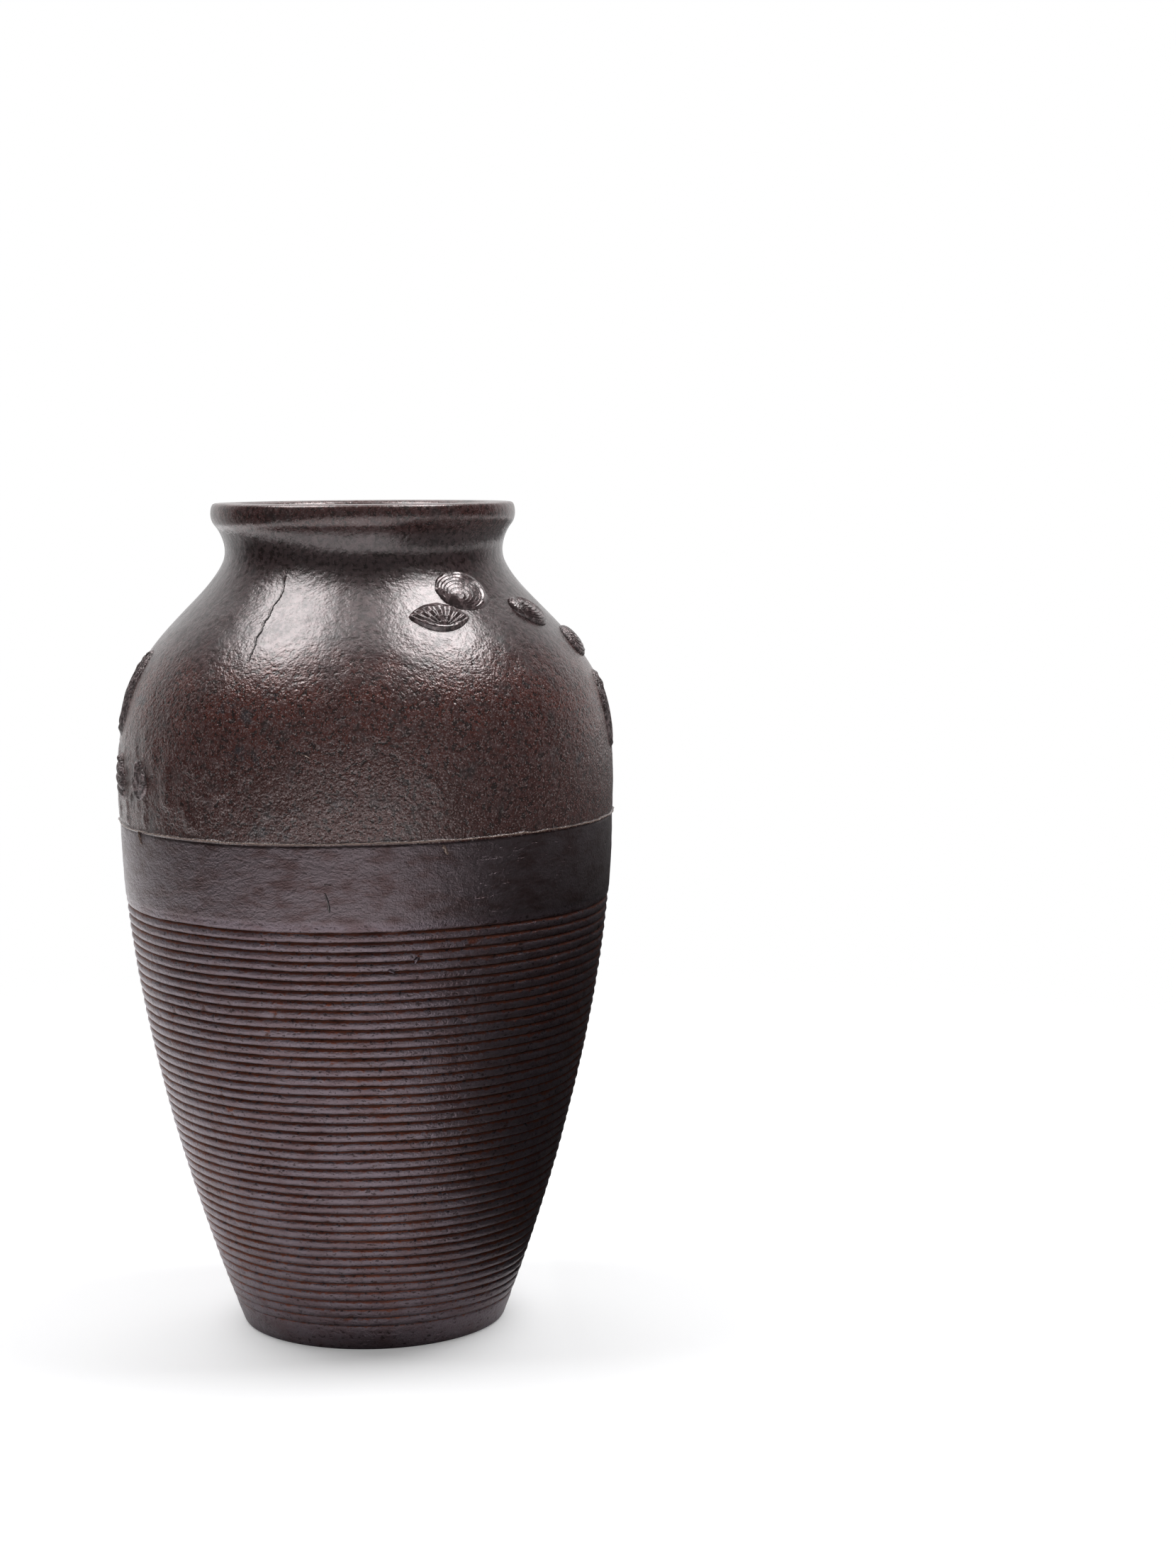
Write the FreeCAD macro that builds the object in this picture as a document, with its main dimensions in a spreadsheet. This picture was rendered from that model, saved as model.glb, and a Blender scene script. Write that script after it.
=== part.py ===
"""Standing cast-iron flower vase with a ribbed lower wall and raised shells on the shoulder.

Millimetres, +Z up. The origin is the middle of the foot ring, on the surface that the vase stands on.
The front, where most of the shells are, faces -Y.
"""

import FreeCAD, Part
import math
import os
import Sketcher

Vector = FreeCAD.Vector

# Driving dimensions: each is a cell of the sheet, in millimetres, degrees or a plain count
DIMENSIONS = {
    # Outline of the wall
    "total_height": 250.0,
    "seam_level": 155.6,
    "belly_radius": 74.4,
    "neck_radius": 41.2,
    "foot_radius": 40.4,
    "wall_thickness": 4.0,
    # Lip and mouth
    "lip_radius": 45.0,
    "lip_root_radius": 43.7,
    "lip_height": 6.5,
    "mouth_radius": 36.5,
    "mouth_edge": 2.6,
    "mouth_land": 12.0,
    # Raised fin that the two halves of the mould leave
    "fin_reach": 0.8,
    "fin_thickness": 1.2,
    # Ribs of the lower wall
    "rib_count": 45,
    "rib_top_level": 133.6,
    "rib_bottom_level": 5.3,
    "rib_depth": 0.9,
    "rib_crest_drop": 0.15,
    # Foot ring, base plate and plug
    "foot_edge": 0.8,
    "floor_level": 10.0,
    "floor_radius": 39.6,
    "ledge_width": 3.4,
    "plate_radius": 32.4,
    "plate_recess": 2.0,
    "plate_thickness": 5.0,
    "plug_radius": 10.6,
    "plug_taper": 0.5,
    "plug_crown": 0.9,
    "vent_radius": 3.4,
    "vent_height": 0.7,
    "vent_offset": 18.5,
    # Shells on the shoulder
    "shell_root": 1.8,
    "ridge_count": 4,
    "fan_rib_count": 9,
    "fan_spread": 128.0,
    "whorl_count": 5,
    "overrun": 5.0,
}

# Control corners of the smooth outlines, from the foot or the seam upwards:
# share of the way from the narrow radius to the belly, share of the height of that stretch
SHOULDER_SHARES = ((1.024, 0.19), (0.946, 0.414), (0.78, 0.532), (0.509, 0.668), (-0.15, 0.90))
FLANK_SHARES = ((0.522, 0.292), (1.006, 0.698))
# Which way the wall is thick at each of those corners: outward share, upward share
SHOULDER_LEAN_SHARES = ((1.0, 0.05), (0.93, 0.35), (0.8, 0.6), (0.75, 0.7))
FLANK_LEAN_SHARES = ((0.95, -0.3), (1.0, -0.1))
# Round of the lip: share of the way from its root to its widest, share of its height
LIP_SHARES = ((0.9, 0.04), (1.3, 0.6), (1.05, 1.0))
LIP_CROWN_SHARE = -0.4
MOUTH_EDGE_SHARES = ((0.3, 1.0), (0.0, 0.6))
PLUG_FLAT_SHARE = 0.6

# Pleats of a fan at its belly and at its rim: share of its reach, rise of a crest, rise of a valley
FAN_SHARES = ((0.52, 1.0, 0.74), (1.0, 0.42, 0.16))
FAN_HINGE_RISE_SHARE = 0.7
FAN_NOTCH_SHARE = 0.94
# Lying whorls of a whelk: breadth at its tip, and of each whorl's narrow end
WHORL_NARROW_SHARE = 0.22
WHORL_STEP_SHARE = 0.72
# A ridged shell: how far out its last section lies, how full its arch is, and how deep the rests
# between its ridges are
TIP_SHARE = 0.96
ARCH_POWER_SHARE = 0.4
REST_SHARE = 0.76

SHELL_WORDS = ("azimuth", "level_share", "length", "breadth", "relief", "turn")
# Shells: azimuth is from the front towards +X, the level is a share of the way from the seam to the lip,
# and the turn is about the normal of the wall. A shell may lie under another one that was laid over it
SHELLS = {
    "shell_clam_front": {
        "form": "ridged", "azimuth": 39.0, "level_share": 0.787,
        "length": 14.5, "breadth": 18.0, "relief": 2.2, "turn": 10.0,
    },
    "shell_scallop_front": {
        "form": "fan", "azimuth": 23.0, "level_share": 0.667,
        "length": 10.5, "breadth": 18.0, "relief": 2.0, "turn": -8.0,
        "under": "shell_clam_front",
    },
    "shell_mussel_front": {
        "form": "ridged", "azimuth": 62.5, "level_share": 0.704,
        "length": 15.5, "breadth": 10.0, "relief": 2.4, "turn": 135.0,
    },
    "shell_round_right": {
        "form": "ridged", "azimuth": 80.0, "level_share": 0.594,
        "length": 11.5, "breadth": 12.5, "relief": 2.0, "turn": 0.0,
    },
    "shell_long_right": {
        "form": "ridged", "azimuth": 82.0, "level_share": 0.354,
        "length": 22.0, "breadth": 10.5, "relief": 1.4, "turn": -5.0,
        "under": "shell_round_right",
    },
    "shell_long_left": {
        "form": "ridged", "azimuth": -80.0, "level_share": 0.438,
        "length": 28.0, "breadth": 11.0, "relief": 1.4, "turn": -6.0,
    },
    "shell_whelk_left": {
        "form": "whelk", "azimuth": -75.0, "level_share": 0.158,
        "length": 14.5, "breadth": 7.5, "relief": 1.8, "turn": 12.0,
    },
    "shell_fan_left": {
        "form": "fan", "azimuth": -62.0, "level_share": 0.1,
        "length": 12.0, "breadth": 12.5, "relief": 1.7, "turn": 9.0,
    },
}

doc = FreeCAD.newDocument("iron_vase")
sheet = doc.addObject("Spreadsheet::Sheet", "dims")
for row, (alias, value) in enumerate(DIMENSIONS.items(), start=1):
    sheet.set(f"A{row}", alias)
    sheet.set(f"B{row}", str(value))
    sheet.setAlias(f"B{row}", alias)
for row, (shell, values) in enumerate(SHELLS.items(), start=len(DIMENSIONS) + 1):
    for column, word in zip("BCDEFG", SHELL_WORDS):
        sheet.set(f"{column}{row}", str(values[word]))
        sheet.setAlias(f"{column}{row}", f"{shell}_{word}")
doc.recompute()


class Size:
    """A length that knows its value and the expression that ties it to the sheet."""

    def __init__(self, value, text):
        self.value = value
        self.text = text

    def __add__(self, other):
        return Size(self.value + other.value, f"({self.text} + {other.text})")

    def __sub__(self, other):
        return Size(self.value - other.value, f"({self.text} - {other.text})")

    def __mul__(self, share):
        return Size(self.value * share, f"({self.text} * {share})")


def dim(alias):
    """The size held by one cell of the sheet."""
    return Size(float(sheet.get(alias)), f"dims.{alias}")


def between(low, high, share):
    return low + (high - low) * share


def bind(thing, **sizes):
    """Tie properties of a primitive or feature to the sheet."""
    for name, size in sizes.items():
        thing.setExpression(name, size.text)


ZERO = Size(0.0, "0")
height = dim("total_height")
seam = dim("seam_level")
belly = dim("belly_radius")
neck = dim("neck_radius")
foot = dim("foot_radius")
wall = dim("wall_thickness")
plate_top = dim("plate_recess") + dim("plate_thickness")


def shoulder_corners():
    """Control corners from the top of the seam fin to the underside of the lip."""
    low = seam + dim("fin_thickness")
    high = height - dim("lip_height")
    corners = [(belly, low)]
    corners += [(between(neck, belly, across), between(low, high, up)) for across, up in SHOULDER_SHARES]
    corners.append((dim("lip_root_radius"), high))
    return corners


def flank_corners():
    """Control corners from the foot's edge to the seam."""
    corners = [(foot, dim("foot_edge"))]
    corners += [(between(foot, belly, across), seam * up) for across, up in FLANK_SHARES]
    corners.append((belly, seam))
    return corners


def thinned(corners, leans):
    """Corners moved inwards by the wall's thickness, each along its own lean."""
    return [(r - wall * out, z - wall * up) for (r, z), (out, up) in zip(corners, leans)]


def smooth_curve(corners):
    """Clamped cubic curve through the air between its control corners, in the plane of radius and height."""
    points = [Vector(r.value, z.value, 0) for r, z in corners]
    return Part.BSplineCurve(points, None, None, False, min(3, len(points) - 1), None, False)


def radius_and_slope(corners, level):
    """Radius of the outline at a level, and its slope there as radius gained per unit of height."""
    curve = smooth_curve(corners)
    low, high = 0.0, 1.0
    rising = corners[-1][1].value > corners[0][1].value
    while high - low > 1e-9:
        middle = (low + high) / 2
        if (curve.value(middle).y < level) == rising:
            low = middle
        else:
            high = middle
    point = curve.value(low)
    along = curve.tangent(low)[0]
    return point.x, along.x / along.y


def origin_part(body, role):
    return next(part for part in body.Origin.OriginFeatures if part.Role == role)


def new_body(label):
    body = doc.addObject("PartDesign::Body", label)
    body.Label = label
    return body


def new_sketch(body, name, role):
    sketch = body.newObject("Sketcher::SketchObject", name)
    sketch.AttachmentSupport = (origin_part(body, role), [""])
    sketch.MapMode = "FlatFace"
    return sketch


def pin_point(sketch, geometry, position, corner):
    """Hold a point at a radius and a height that follow the sheet."""
    for kind, size, axis in (("DistanceX", corner[0], -2), ("DistanceY", corner[1], -1)):
        if size is ZERO:
            sketch.addConstraint(Sketcher.Constraint("PointOnObject", geometry, position, axis))
        else:
            index = sketch.addConstraint(Sketcher.Constraint(kind, -1, 1, geometry, position, size.value))
            sketch.setExpression(f"Constraints[{index}]", size.text)


def add_curve(sketch, corners, start_held):
    """A smooth curve whose control corners follow the sheet; the first may be held by the curve before it."""
    points = [Vector(r.value, z.value, 0) for r, z in corners]
    marks = [sketch.addGeometry(Part.Circle(point, Vector(0, 0, 1), 1.0), True) for point in points]
    curve = sketch.addGeometry(smooth_curve(corners), False)
    sketch.addConstraint(Sketcher.Constraint("Weight", marks[0], 1.0))
    for mark in marks[1:]:
        sketch.addConstraint(Sketcher.Constraint("Equal", marks[0], mark))
    kind = "InternalAlignment:Sketcher::BSplineControlPoint"
    for index, mark in enumerate(marks):
        sketch.addConstraint(Sketcher.Constraint(kind, mark, 3, curve, index))
    for mark, corner in list(zip(marks, corners))[1 if start_held else 0:]:
        pin_point(sketch, mark, 3, corner)
    return curve


def draw_outline(sketch, steps):
    """Draw a closed outline. A step is one corner for a straight edge, or a list for a smooth curve."""
    edges = []
    current = steps[-1][-1] if isinstance(steps[-1], list) else steps[-1]
    for step in steps:
        smooth = isinstance(step, list)
        if smooth:
            edge = add_curve(sketch, [current] + step, bool(edges) and edges[-1][1])
            current = step[-1]
        else:
            ends = [Vector(r.value, z.value, 0) for r, z in (current, step)]
            edge = sketch.addGeometry(Part.LineSegment(*ends), False)
            current = step
        edges.append((edge, smooth, current))
    for (edge, smooth, corner), (following, next_smooth, _) in zip(edges, edges[1:] + edges[:1]):
        sketch.addConstraint(Sketcher.Constraint("Coincident", edge, 2, following, 1))
        if not (smooth or next_smooth):
            pin_point(sketch, edge, 2, corner)


def turned_body(label, steps):
    """A body turned about the vase's axis from one closed outline."""
    body = new_body(label)
    sketch = new_sketch(body, f"{label}_outline", "XZ_Plane")
    draw_outline(sketch, steps)
    turned = body.newObject("PartDesign::Revolution", f"{label}_turned")
    turned.Profile = sketch
    turned.ReferenceAxis = (sketch, ["V_Axis"])
    turned.Angle = 360.0
    return body


def make_upper_casting():
    """Shoulder, neck and lip above the mould seam, with the seam's raised fin at its lower edge."""
    lip_root = dim("lip_root_radius")
    lip_base = height - dim("lip_height")
    mouth = dim("mouth_radius")
    edge = dim("mouth_edge")
    fin = belly + dim("fin_reach")
    land_top = height - edge
    land_base = land_top - dim("mouth_land")
    outside = shoulder_corners()
    lip_edge = dim("lip_radius")
    lip = [(between(lip_root, lip_edge, out), between(lip_base, height, up)) for out, up in LIP_SHARES]
    lip.append((between(lip_root, lip_edge, LIP_CROWN_SHARE), height))
    inside = [(mouth, land_base - wall)]
    inside += thinned(outside[1:5], SHOULDER_LEAN_SHARES)[::-1]
    inside.append((belly - wall, seam))
    return turned_body("upper_casting", [
        (fin, seam),
        (fin, seam + dim("fin_thickness") * 0.5),
        outside[0],
        outside[1:],
        lip,
        (mouth + edge, height),
        [(mouth + edge * out, land_top + edge * up) for out, up in MOUTH_EDGE_SHARES] + [(mouth, land_top)],
        (mouth, land_base),
        inside,
    ])


def make_lower_blank():
    """Wall below the seam before its ribs are cut, with the foot ring and the ledge for the base plate."""
    plate = dim("plate_radius")
    ledge = plate - dim("ledge_width")
    floor = dim("floor_level")
    outside = flank_corners()
    inside = thinned(outside[1:3], FLANK_LEAN_SHARES)[::-1]
    inside.append((dim("floor_radius"), floor))
    return turned_body("lower_blank", [
        (foot - dim("foot_edge"), ZERO),
        outside[0],
        outside[1:],
        (belly - wall, seam),
        inside,
        (ledge, floor),
        (ledge, plate_top),
        (plate, plate_top),
        (plate, ZERO),
    ])


def make_rib_cutter():
    """Ring that cuts the ribs: its inner side is a zigzag that follows the flank's curve all the way down."""
    outline = flank_corners()
    count = int(dim("rib_count").value)
    top = dim("rib_top_level").value
    bottom = dim("rib_bottom_level").value
    drop = dim("rib_crest_drop").value
    depth = drop + dim("rib_depth").value
    outer = belly.value + dim("overrun").value
    half_pitch = (top - bottom) / (2 * count + 1)
    points = [Vector(outer, 0, bottom)]
    for step in range(2 * count + 2):
        level = bottom + half_pitch * step
        radius = radius_and_slope(outline, level)[0]
        points.append(Vector(radius - (drop if step % 2 else depth), 0, level))
    points[1].x = radius_and_slope(outline, bottom)[0]
    points[-1].x = radius_and_slope(outline, top)[0]
    points.append(Vector(outer, 0, top))
    face = Part.Face(Part.makePolygon(points + points[:1]))
    cutter = doc.addObject("Part::Feature", "rib_cutter")
    cutter.Shape = face.revolve(Vector(0, 0, 0), Vector(0, 0, 1), 360)
    return cutter


def make_lower_casting():
    """Ribbed wall below the seam."""
    ribbed = doc.addObject("Part::Cut", "lower_casting")
    ribbed.Base = make_lower_blank()
    ribbed.Tool = make_rib_cutter()
    ribbed.Label = "lower_casting"
    return ribbed


def make_base_plate():
    """Disc let into the foot ring, with a tapered hole for the plug and the stubs of two vents underneath."""
    recess = dim("plate_recess")
    plug = dim("plug_radius")
    taper = dim("plug_taper")
    body = turned_body("base_plate", [
        (plug, recess),
        (dim("plate_radius"), recess),
        (dim("plate_radius"), plate_top),
        (plug - taper, plate_top),
    ])
    sketch = new_sketch(body, "vent_outline", "XY_Plane")
    sketch.AttachmentOffset = FreeCAD.Placement(Vector(0, 0, recess.value), FreeCAD.Rotation())
    sketch.setExpression("AttachmentOffset.Base.z", recess.text)
    offset = dim("vent_offset")
    radius = dim("vent_radius")
    ring = sketch.addGeometry(Part.Circle(Vector(offset.value, 0, 0), Vector(0, 0, 1), radius.value), False)
    index = sketch.addConstraint(Sketcher.Constraint("Radius", ring, radius.value))
    sketch.setExpression(f"Constraints[{index}]", radius.text)
    pin_point(sketch, ring, 3, (offset, ZERO))
    vent = body.newObject("PartDesign::Pad", "vent_stub")
    vent.Profile = sketch
    vent.Reversed = True
    bind(vent, Length=dim("vent_height"))
    pair = body.newObject("PartDesign::PolarPattern", "vent_pair")
    pair.Originals = [vent]
    pair.Axis = (origin_part(body, "Z_Axis"), [""])
    pair.Angle = 360.0
    pair.Occurrences = 2
    body.Tip = pair
    return body


def make_gate_plug():
    """Rough iron plug in the middle of the base plate, with a low crown underneath."""
    recess = dim("plate_recess")
    plug = dim("plug_radius")
    crown = recess - dim("plug_crown")
    return turned_body("gate_plug", [
        (ZERO, plate_top),
        (ZERO, crown),
        (plug * PLUG_FLAT_SHARE, crown),
        (plug, recess),
        (plug - dim("plug_taper"), plate_top),
    ])


def wall_place(azimuth, level_share, turn):
    """Frame on the shoulder: X across, Y up the wall and Z straight out of it, turned about Z."""
    corners = shoulder_corners()
    level = between(corners[0][1], corners[-1][1], level_share).value
    radius, slope = radius_and_slope(corners, level)
    around = math.radians(azimuth)
    lean = math.atan(-slope)
    outward = Vector(math.sin(around), -math.cos(around), 0)
    normal = outward * math.cos(lean) + Vector(0, 0, math.sin(lean))
    upward = outward * -math.sin(lean) + Vector(0, 0, math.cos(lean))
    across = upward.cross(normal)
    frame = FreeCAD.Rotation(across, upward, normal, "ZXY")
    spin = FreeCAD.Rotation(Vector(0, 0, 1), turn)
    return FreeCAD.Placement(outward * radius + Vector(0, 0, level), frame.multiply(spin))


def make_ridged(name, place, length, breadth, relief):
    """Oval shell that bends with the wall: level arches across it, higher and lower by turns as it grew."""
    azimuth = dim(f"{name}_azimuth").value
    middle = dim(f"{name}_level_share").value
    turn = dim(f"{name}_turn")
    half = length.value / 2
    spin = math.radians(turn.value)
    corners = shoulder_corners()
    rise = place.multVec(Vector(0, half, 0)).z - place.Base.z
    climb = rise / (corners[-1][1] - corners[0][1]).value
    around = -half * math.sin(spin) / math.hypot(place.Base.x, place.Base.y)
    upright = place.Rotation.multiply(FreeCAD.Rotation(Vector(1, 0, 0), 90))
    steps = 2 * int(dim("ridge_count").value)
    sections = []
    for step in range(steps + 1):
        along = TIP_SHARE * (2 * step / steps - 1)
        plan = math.sqrt(1 - along * along)
        arch = plan ** ARCH_POWER_SHARE * (1 if step % 2 else REST_SHARE)
        section = doc.addObject("Part::Ellipse", f"{name}_section_{step}")
        bind(section, MajorRadius=breadth * (plan / 2), MinorRadius=relief * arch)
        station = wall_place(azimuth + math.degrees(around * along), middle + climb * along, turn.value)
        section.Placement = FreeCAD.Placement(station.Base, upright)
        sections.append(section)
    loft = doc.addObject("Part::Loft", f"{name}_form")
    loft.Sections = sections
    loft.Solid = True
    loft.Ruled = True
    return loft


def make_fan(name, place, length, breadth, relief):
    """Pleated fan: flat facets run from the hinge over a raised belly to a notched rim."""
    pleats = 2 * int(dim("fan_rib_count").value)
    spread = dim("fan_spread").value
    root = Vector(0, 0, -dim("shell_root").value)
    hinge = Vector(0, 0, relief.value * FAN_HINGE_RISE_SHARE)
    rows = []
    for share, crest, valley in FAN_SHARES:
        row = []
        for pleat in range(pleats + 1):
            angle = math.radians(spread * (pleat / pleats - 0.5))
            forward = math.cos(angle) ** 2
            reach = (length.value * forward + breadth.value / 2 * (1 - forward)) * share
            if pleat % 2 == 0:
                reach *= FAN_NOTCH_SHARE
            rise = relief.value * (crest if pleat % 2 else valley)
            row.append(Vector(reach * math.sin(angle), reach * math.cos(angle), rise))
        rows.append(row)
    belly_row, rim_row = rows
    foot_row = [Vector(point.x, point.y, root.z) for point in rim_row]
    corners = [
        [root] + foot_row,
        [hinge, belly_row[0], rim_row[0], foot_row[0], root],
        [root, foot_row[-1], rim_row[-1], belly_row[-1], hinge],
    ]
    for left in range(pleats):
        right = left + 1
        corners.append([hinge, belly_row[left], belly_row[right]])
        corners.append([belly_row[left], rim_row[left], rim_row[right]])
        corners.append([belly_row[left], rim_row[right], belly_row[right]])
        corners.append([rim_row[left], foot_row[left], foot_row[right], rim_row[right]])
    faces = [Part.Face(Part.makePolygon(ring + ring[:1])) for ring in corners]
    fan = doc.addObject("Part::Feature", f"{name}_form")
    fan.Shape = Part.makeSolid(Part.makeShell(faces))
    fan.Placement = place
    return fan


def make_whelk(name, place, length, breadth, relief):
    """A row of widening whorls that lie along the wall."""
    count = int(dim("whorl_count").value)
    whorls = []
    for whorl in range(count):
        share = WHORL_NARROW_SHARE + (1 - WHORL_NARROW_SHARE) * (whorl + 1) / count
        cone = doc.addObject("Part::Cone", f"{name}_whorl_{whorl}")
        cone.Angle = 180
        wide = breadth * (share / 2)
        bind(cone, Radius1=wide * WHORL_STEP_SHARE, Radius2=wide, Height=length * (1 / count))
        along = length.value * (0.5 - whorl / count)
        sink = wide.value - relief.value * share
        lying = FreeCAD.Placement(Vector(0, along, -sink), FreeCAD.Rotation(Vector(1, 0, 0), 90))
        cone.Placement = place.multiply(lying)
        whorls.append(cone)
    row = doc.addObject("Part::MultiFuse", f"{name}_form")
    row.Shapes = whorls
    return row


SHELL_FORMS = {"ridged": make_ridged, "fan": make_fan, "whelk": make_whelk}


def make_shell(name, casting, shells):
    """One raised shell, cut to the wall that it stands on and to the shell that lies over it."""
    values = {word: dim(f"{name}_{word}") for word in SHELL_WORDS}
    place = wall_place(values["azimuth"].value, values["level_share"].value, values["turn"].value)
    make_form = SHELL_FORMS[SHELLS[name]["form"]]
    shell = make_form(name, place, values["length"], values["breadth"], values["relief"])
    for number, solid in enumerate([casting, shells.get(SHELLS[name].get("under"))]):
        if solid is not None:
            cut = doc.addObject("Part::Cut", f"{name}_cut_{number}")
            cut.Base = shell
            cut.Tool = solid
            shell = cut
    shell.Label = name
    return shell


def main():
    upper = make_upper_casting()
    shells = {}
    for name in sorted(SHELLS, key=lambda name: "under" in SHELLS[name]):
        shells[name] = make_shell(name, upper, shells)
    nodes = [upper, make_lower_casting(), make_base_plate(), make_gate_plug(), *shells.values()]
    doc.recompute()
    failed = [item.Label for item in doc.Objects if {"Invalid", "Error"} & set(item.State)]
    if failed:
        raise RuntimeError(f"these objects failed: {failed}")
    for node in nodes:
        if node.Shape.isNull() or not node.Shape.isValid():
            raise RuntimeError(f"{node.Label} has no valid shape")
    os.makedirs("parts", exist_ok=True)
    for node in nodes:
        node.Shape.exportStep(f"parts/{node.Label}.step")
        print(f"{node.Label}: {len(node.Shape.Solids)} solids, {node.Shape.Volume / 1000:.2f} cm3")


main()
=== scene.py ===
"""A standing cast iron flower vase: plain shoulder with shells, mould seam, ribbed flank, plugged base."""
import math

import bmesh
import bpy
import numpy as np
from mathutils import Matrix, Vector


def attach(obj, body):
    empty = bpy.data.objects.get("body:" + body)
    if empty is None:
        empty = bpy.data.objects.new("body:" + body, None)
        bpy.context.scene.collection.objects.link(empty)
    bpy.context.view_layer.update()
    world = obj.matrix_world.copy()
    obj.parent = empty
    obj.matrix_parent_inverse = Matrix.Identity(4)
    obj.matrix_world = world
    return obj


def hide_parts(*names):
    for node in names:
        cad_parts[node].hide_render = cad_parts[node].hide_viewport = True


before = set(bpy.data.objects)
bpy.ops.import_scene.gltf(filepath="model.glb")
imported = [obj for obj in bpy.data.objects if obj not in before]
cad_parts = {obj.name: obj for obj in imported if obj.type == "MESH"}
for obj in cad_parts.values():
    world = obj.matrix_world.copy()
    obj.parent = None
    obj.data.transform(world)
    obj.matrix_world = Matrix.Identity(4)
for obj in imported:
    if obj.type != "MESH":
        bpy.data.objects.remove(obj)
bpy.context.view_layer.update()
MM = 0.001


# The iron above the seam: shoulder, hollow neck and rolled lip, poured in the upper half of a sand mould.
# Its skin is coarse from the sand, browned and waxed, smoother towards the neck where hands have rubbed it.

HEIGHT = 250.0
SEAM = 155.6
BELLY_RADIUS = 74.4
NECK_RADIUS = 41.2
WALL = 4.0
FIN_THICKNESS = 1.2
FIN_REACH = 0.75
FLARE_START = 232.0
FLARE_LENGTH = 9.0
FLARE_RISE = 0.9
LIP_HEIGHT = 6.5
LIP_ROOT_RADIUS = 43.7
LIP_CORNERS = [(44.6, 243.5), (45.2, 244.3), (45.75, 246.2), (45.5, 248.4), (45.0, 249.9), (43.9, 250.0),
               (42.6, 249.8)]
MOUTH_RADIUS = 36.5
MOUTH_EDGE = 2.6
MOUTH_LAND = 12.0
LAND_MIDDLE = 6.0
SEAM_TILT = 0.55
SEAM_TILT_REACH = 14.0
FLAKE_RISE = 0.34
INSIDE_ROUGHNESS = 0.25
OUTSIDE_STEP = 0.8
LIP_STEP = 0.6
INSIDE_STEP = 5.0
STEPS_ROUND_UPPER = 576


def clamped_curve(corners, count):
    """Points along the smooth cubic curve that starts and ends on its outer corners."""
    corners = np.array(corners, float)
    spans = len(corners) - 3
    knots = np.concatenate([np.zeros(3), np.linspace(0, 1, spans + 1), np.ones(3)])
    places = np.linspace(0, 1, count) * (1 - 1e-9)
    weights = np.array([(knots[:-1] <= t) & (t < knots[1:]) for t in places], float)
    for degree in (1, 2, 3):
        rise = knots[degree:-1] - knots[: -degree - 1]
        fall = knots[degree + 1:] - knots[1:-degree]
        t = places[:, None]
        up = np.divide(t - knots[: -degree - 1], rise, out=np.zeros((count, len(rise))), where=rise > 0)
        down = np.divide(knots[degree + 1:] - t, fall, out=np.zeros((count, len(fall))), where=fall > 0)
        weights = up * weights[:, :-1] + down * weights[:, 1:]
    return weights @ corners


def shoulder_corners():
    """Corners of the curve from the seam up to the lip, as shares of its breadth and of its height."""
    low, high = SEAM + FIN_THICKNESS, HEIGHT - LIP_HEIGHT
    width = BELLY_RADIUS - NECK_RADIUS
    shares = ((1.0, 0.0), (1.024, 0.19), (0.946, 0.414), (0.78, 0.532), (0.509, 0.668), (-0.15, 0.9))
    corners = [(NECK_RADIUS + width * out, low + (high - low) * up) for out, up in shares]
    return corners + [(LIP_ROOT_RADIUS, high)]


def spaced(outline, step):
    """The outline with its points an even step apart."""
    outline = np.array(outline, float)
    along = np.concatenate([[0], np.cumsum(np.hypot(*np.diff(outline, axis=0).T))])
    count = max(2, int(round(along[-1] / step)) + 1)
    places = np.linspace(0, along[-1], count)
    return np.stack([np.interp(places, along, outline[:, column]) for column in (0, 1)], axis=1)


def held(value):
    """A value kept between 0 and 1."""
    return np.clip(value, 0, 1)


def eased(share):
    """A share from 0 to 1 that starts and ends softly."""
    return share * share * (3 - 2 * share)


def lumps(points, size, seed):
    """Smooth bumps from -1 to 1, about one to each size, the same on every run."""
    table = np.random.default_rng(seed).uniform(-1, 1, 4096)
    cells = points / size
    base = np.floor(cells).astype(np.int64)
    part = eased(cells - base)
    total = np.zeros(points.shape[:-1])
    for corner in np.ndindex(2, 2, 2):
        share = np.prod(np.where(np.array(corner) == 1, part, 1 - part), axis=-1)
        total += share * table[(base + corner) @ np.array([73856093, 19349663, 83492791]) & 4095]
    return total


def seam_rise(azimuths):
    """How far the seam wanders up and down round the belly, because the two flasks sat a little askew."""
    wander = 0.12 * np.sin(3 * azimuths + 0.6) + 0.07 * np.sin(8 * azimuths + 2.0)
    return SEAM_TILT * np.sin(azimuths + math.radians(8)) + wander


def around(azimuths, radius, height):
    """Points round the vase's axis, at azimuths that run from the front towards the right."""
    return np.stack([radius * np.sin(azimuths), -radius * np.cos(azimuths), height], axis=-1)


def turn(outline, steps_round, lift=None):
    """Rings of points round the vase's axis, one for each radius and height of an outline."""
    azimuths = np.linspace(0, 2 * math.pi, steps_round, endpoint=False)
    radius = np.repeat(outline[:, :1], steps_round, axis=1)
    height = np.repeat(outline[:, 1:], steps_round, axis=1)
    near_seam = held(1 - np.abs(height - SEAM) / SEAM_TILT_REACH)
    height = height + eased(near_seam) * seam_rise(azimuths)[None, :]
    if lift is not None:
        radius = radius + lift(radius, height, azimuths)
    return around(azimuths, radius, height)


def put(name, data):
    """A new object in the scene, with its mesh, lamp or camera."""
    thing = bpy.data.objects.new(name, data)
    bpy.context.scene.collection.objects.link(thing)
    return thing


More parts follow.
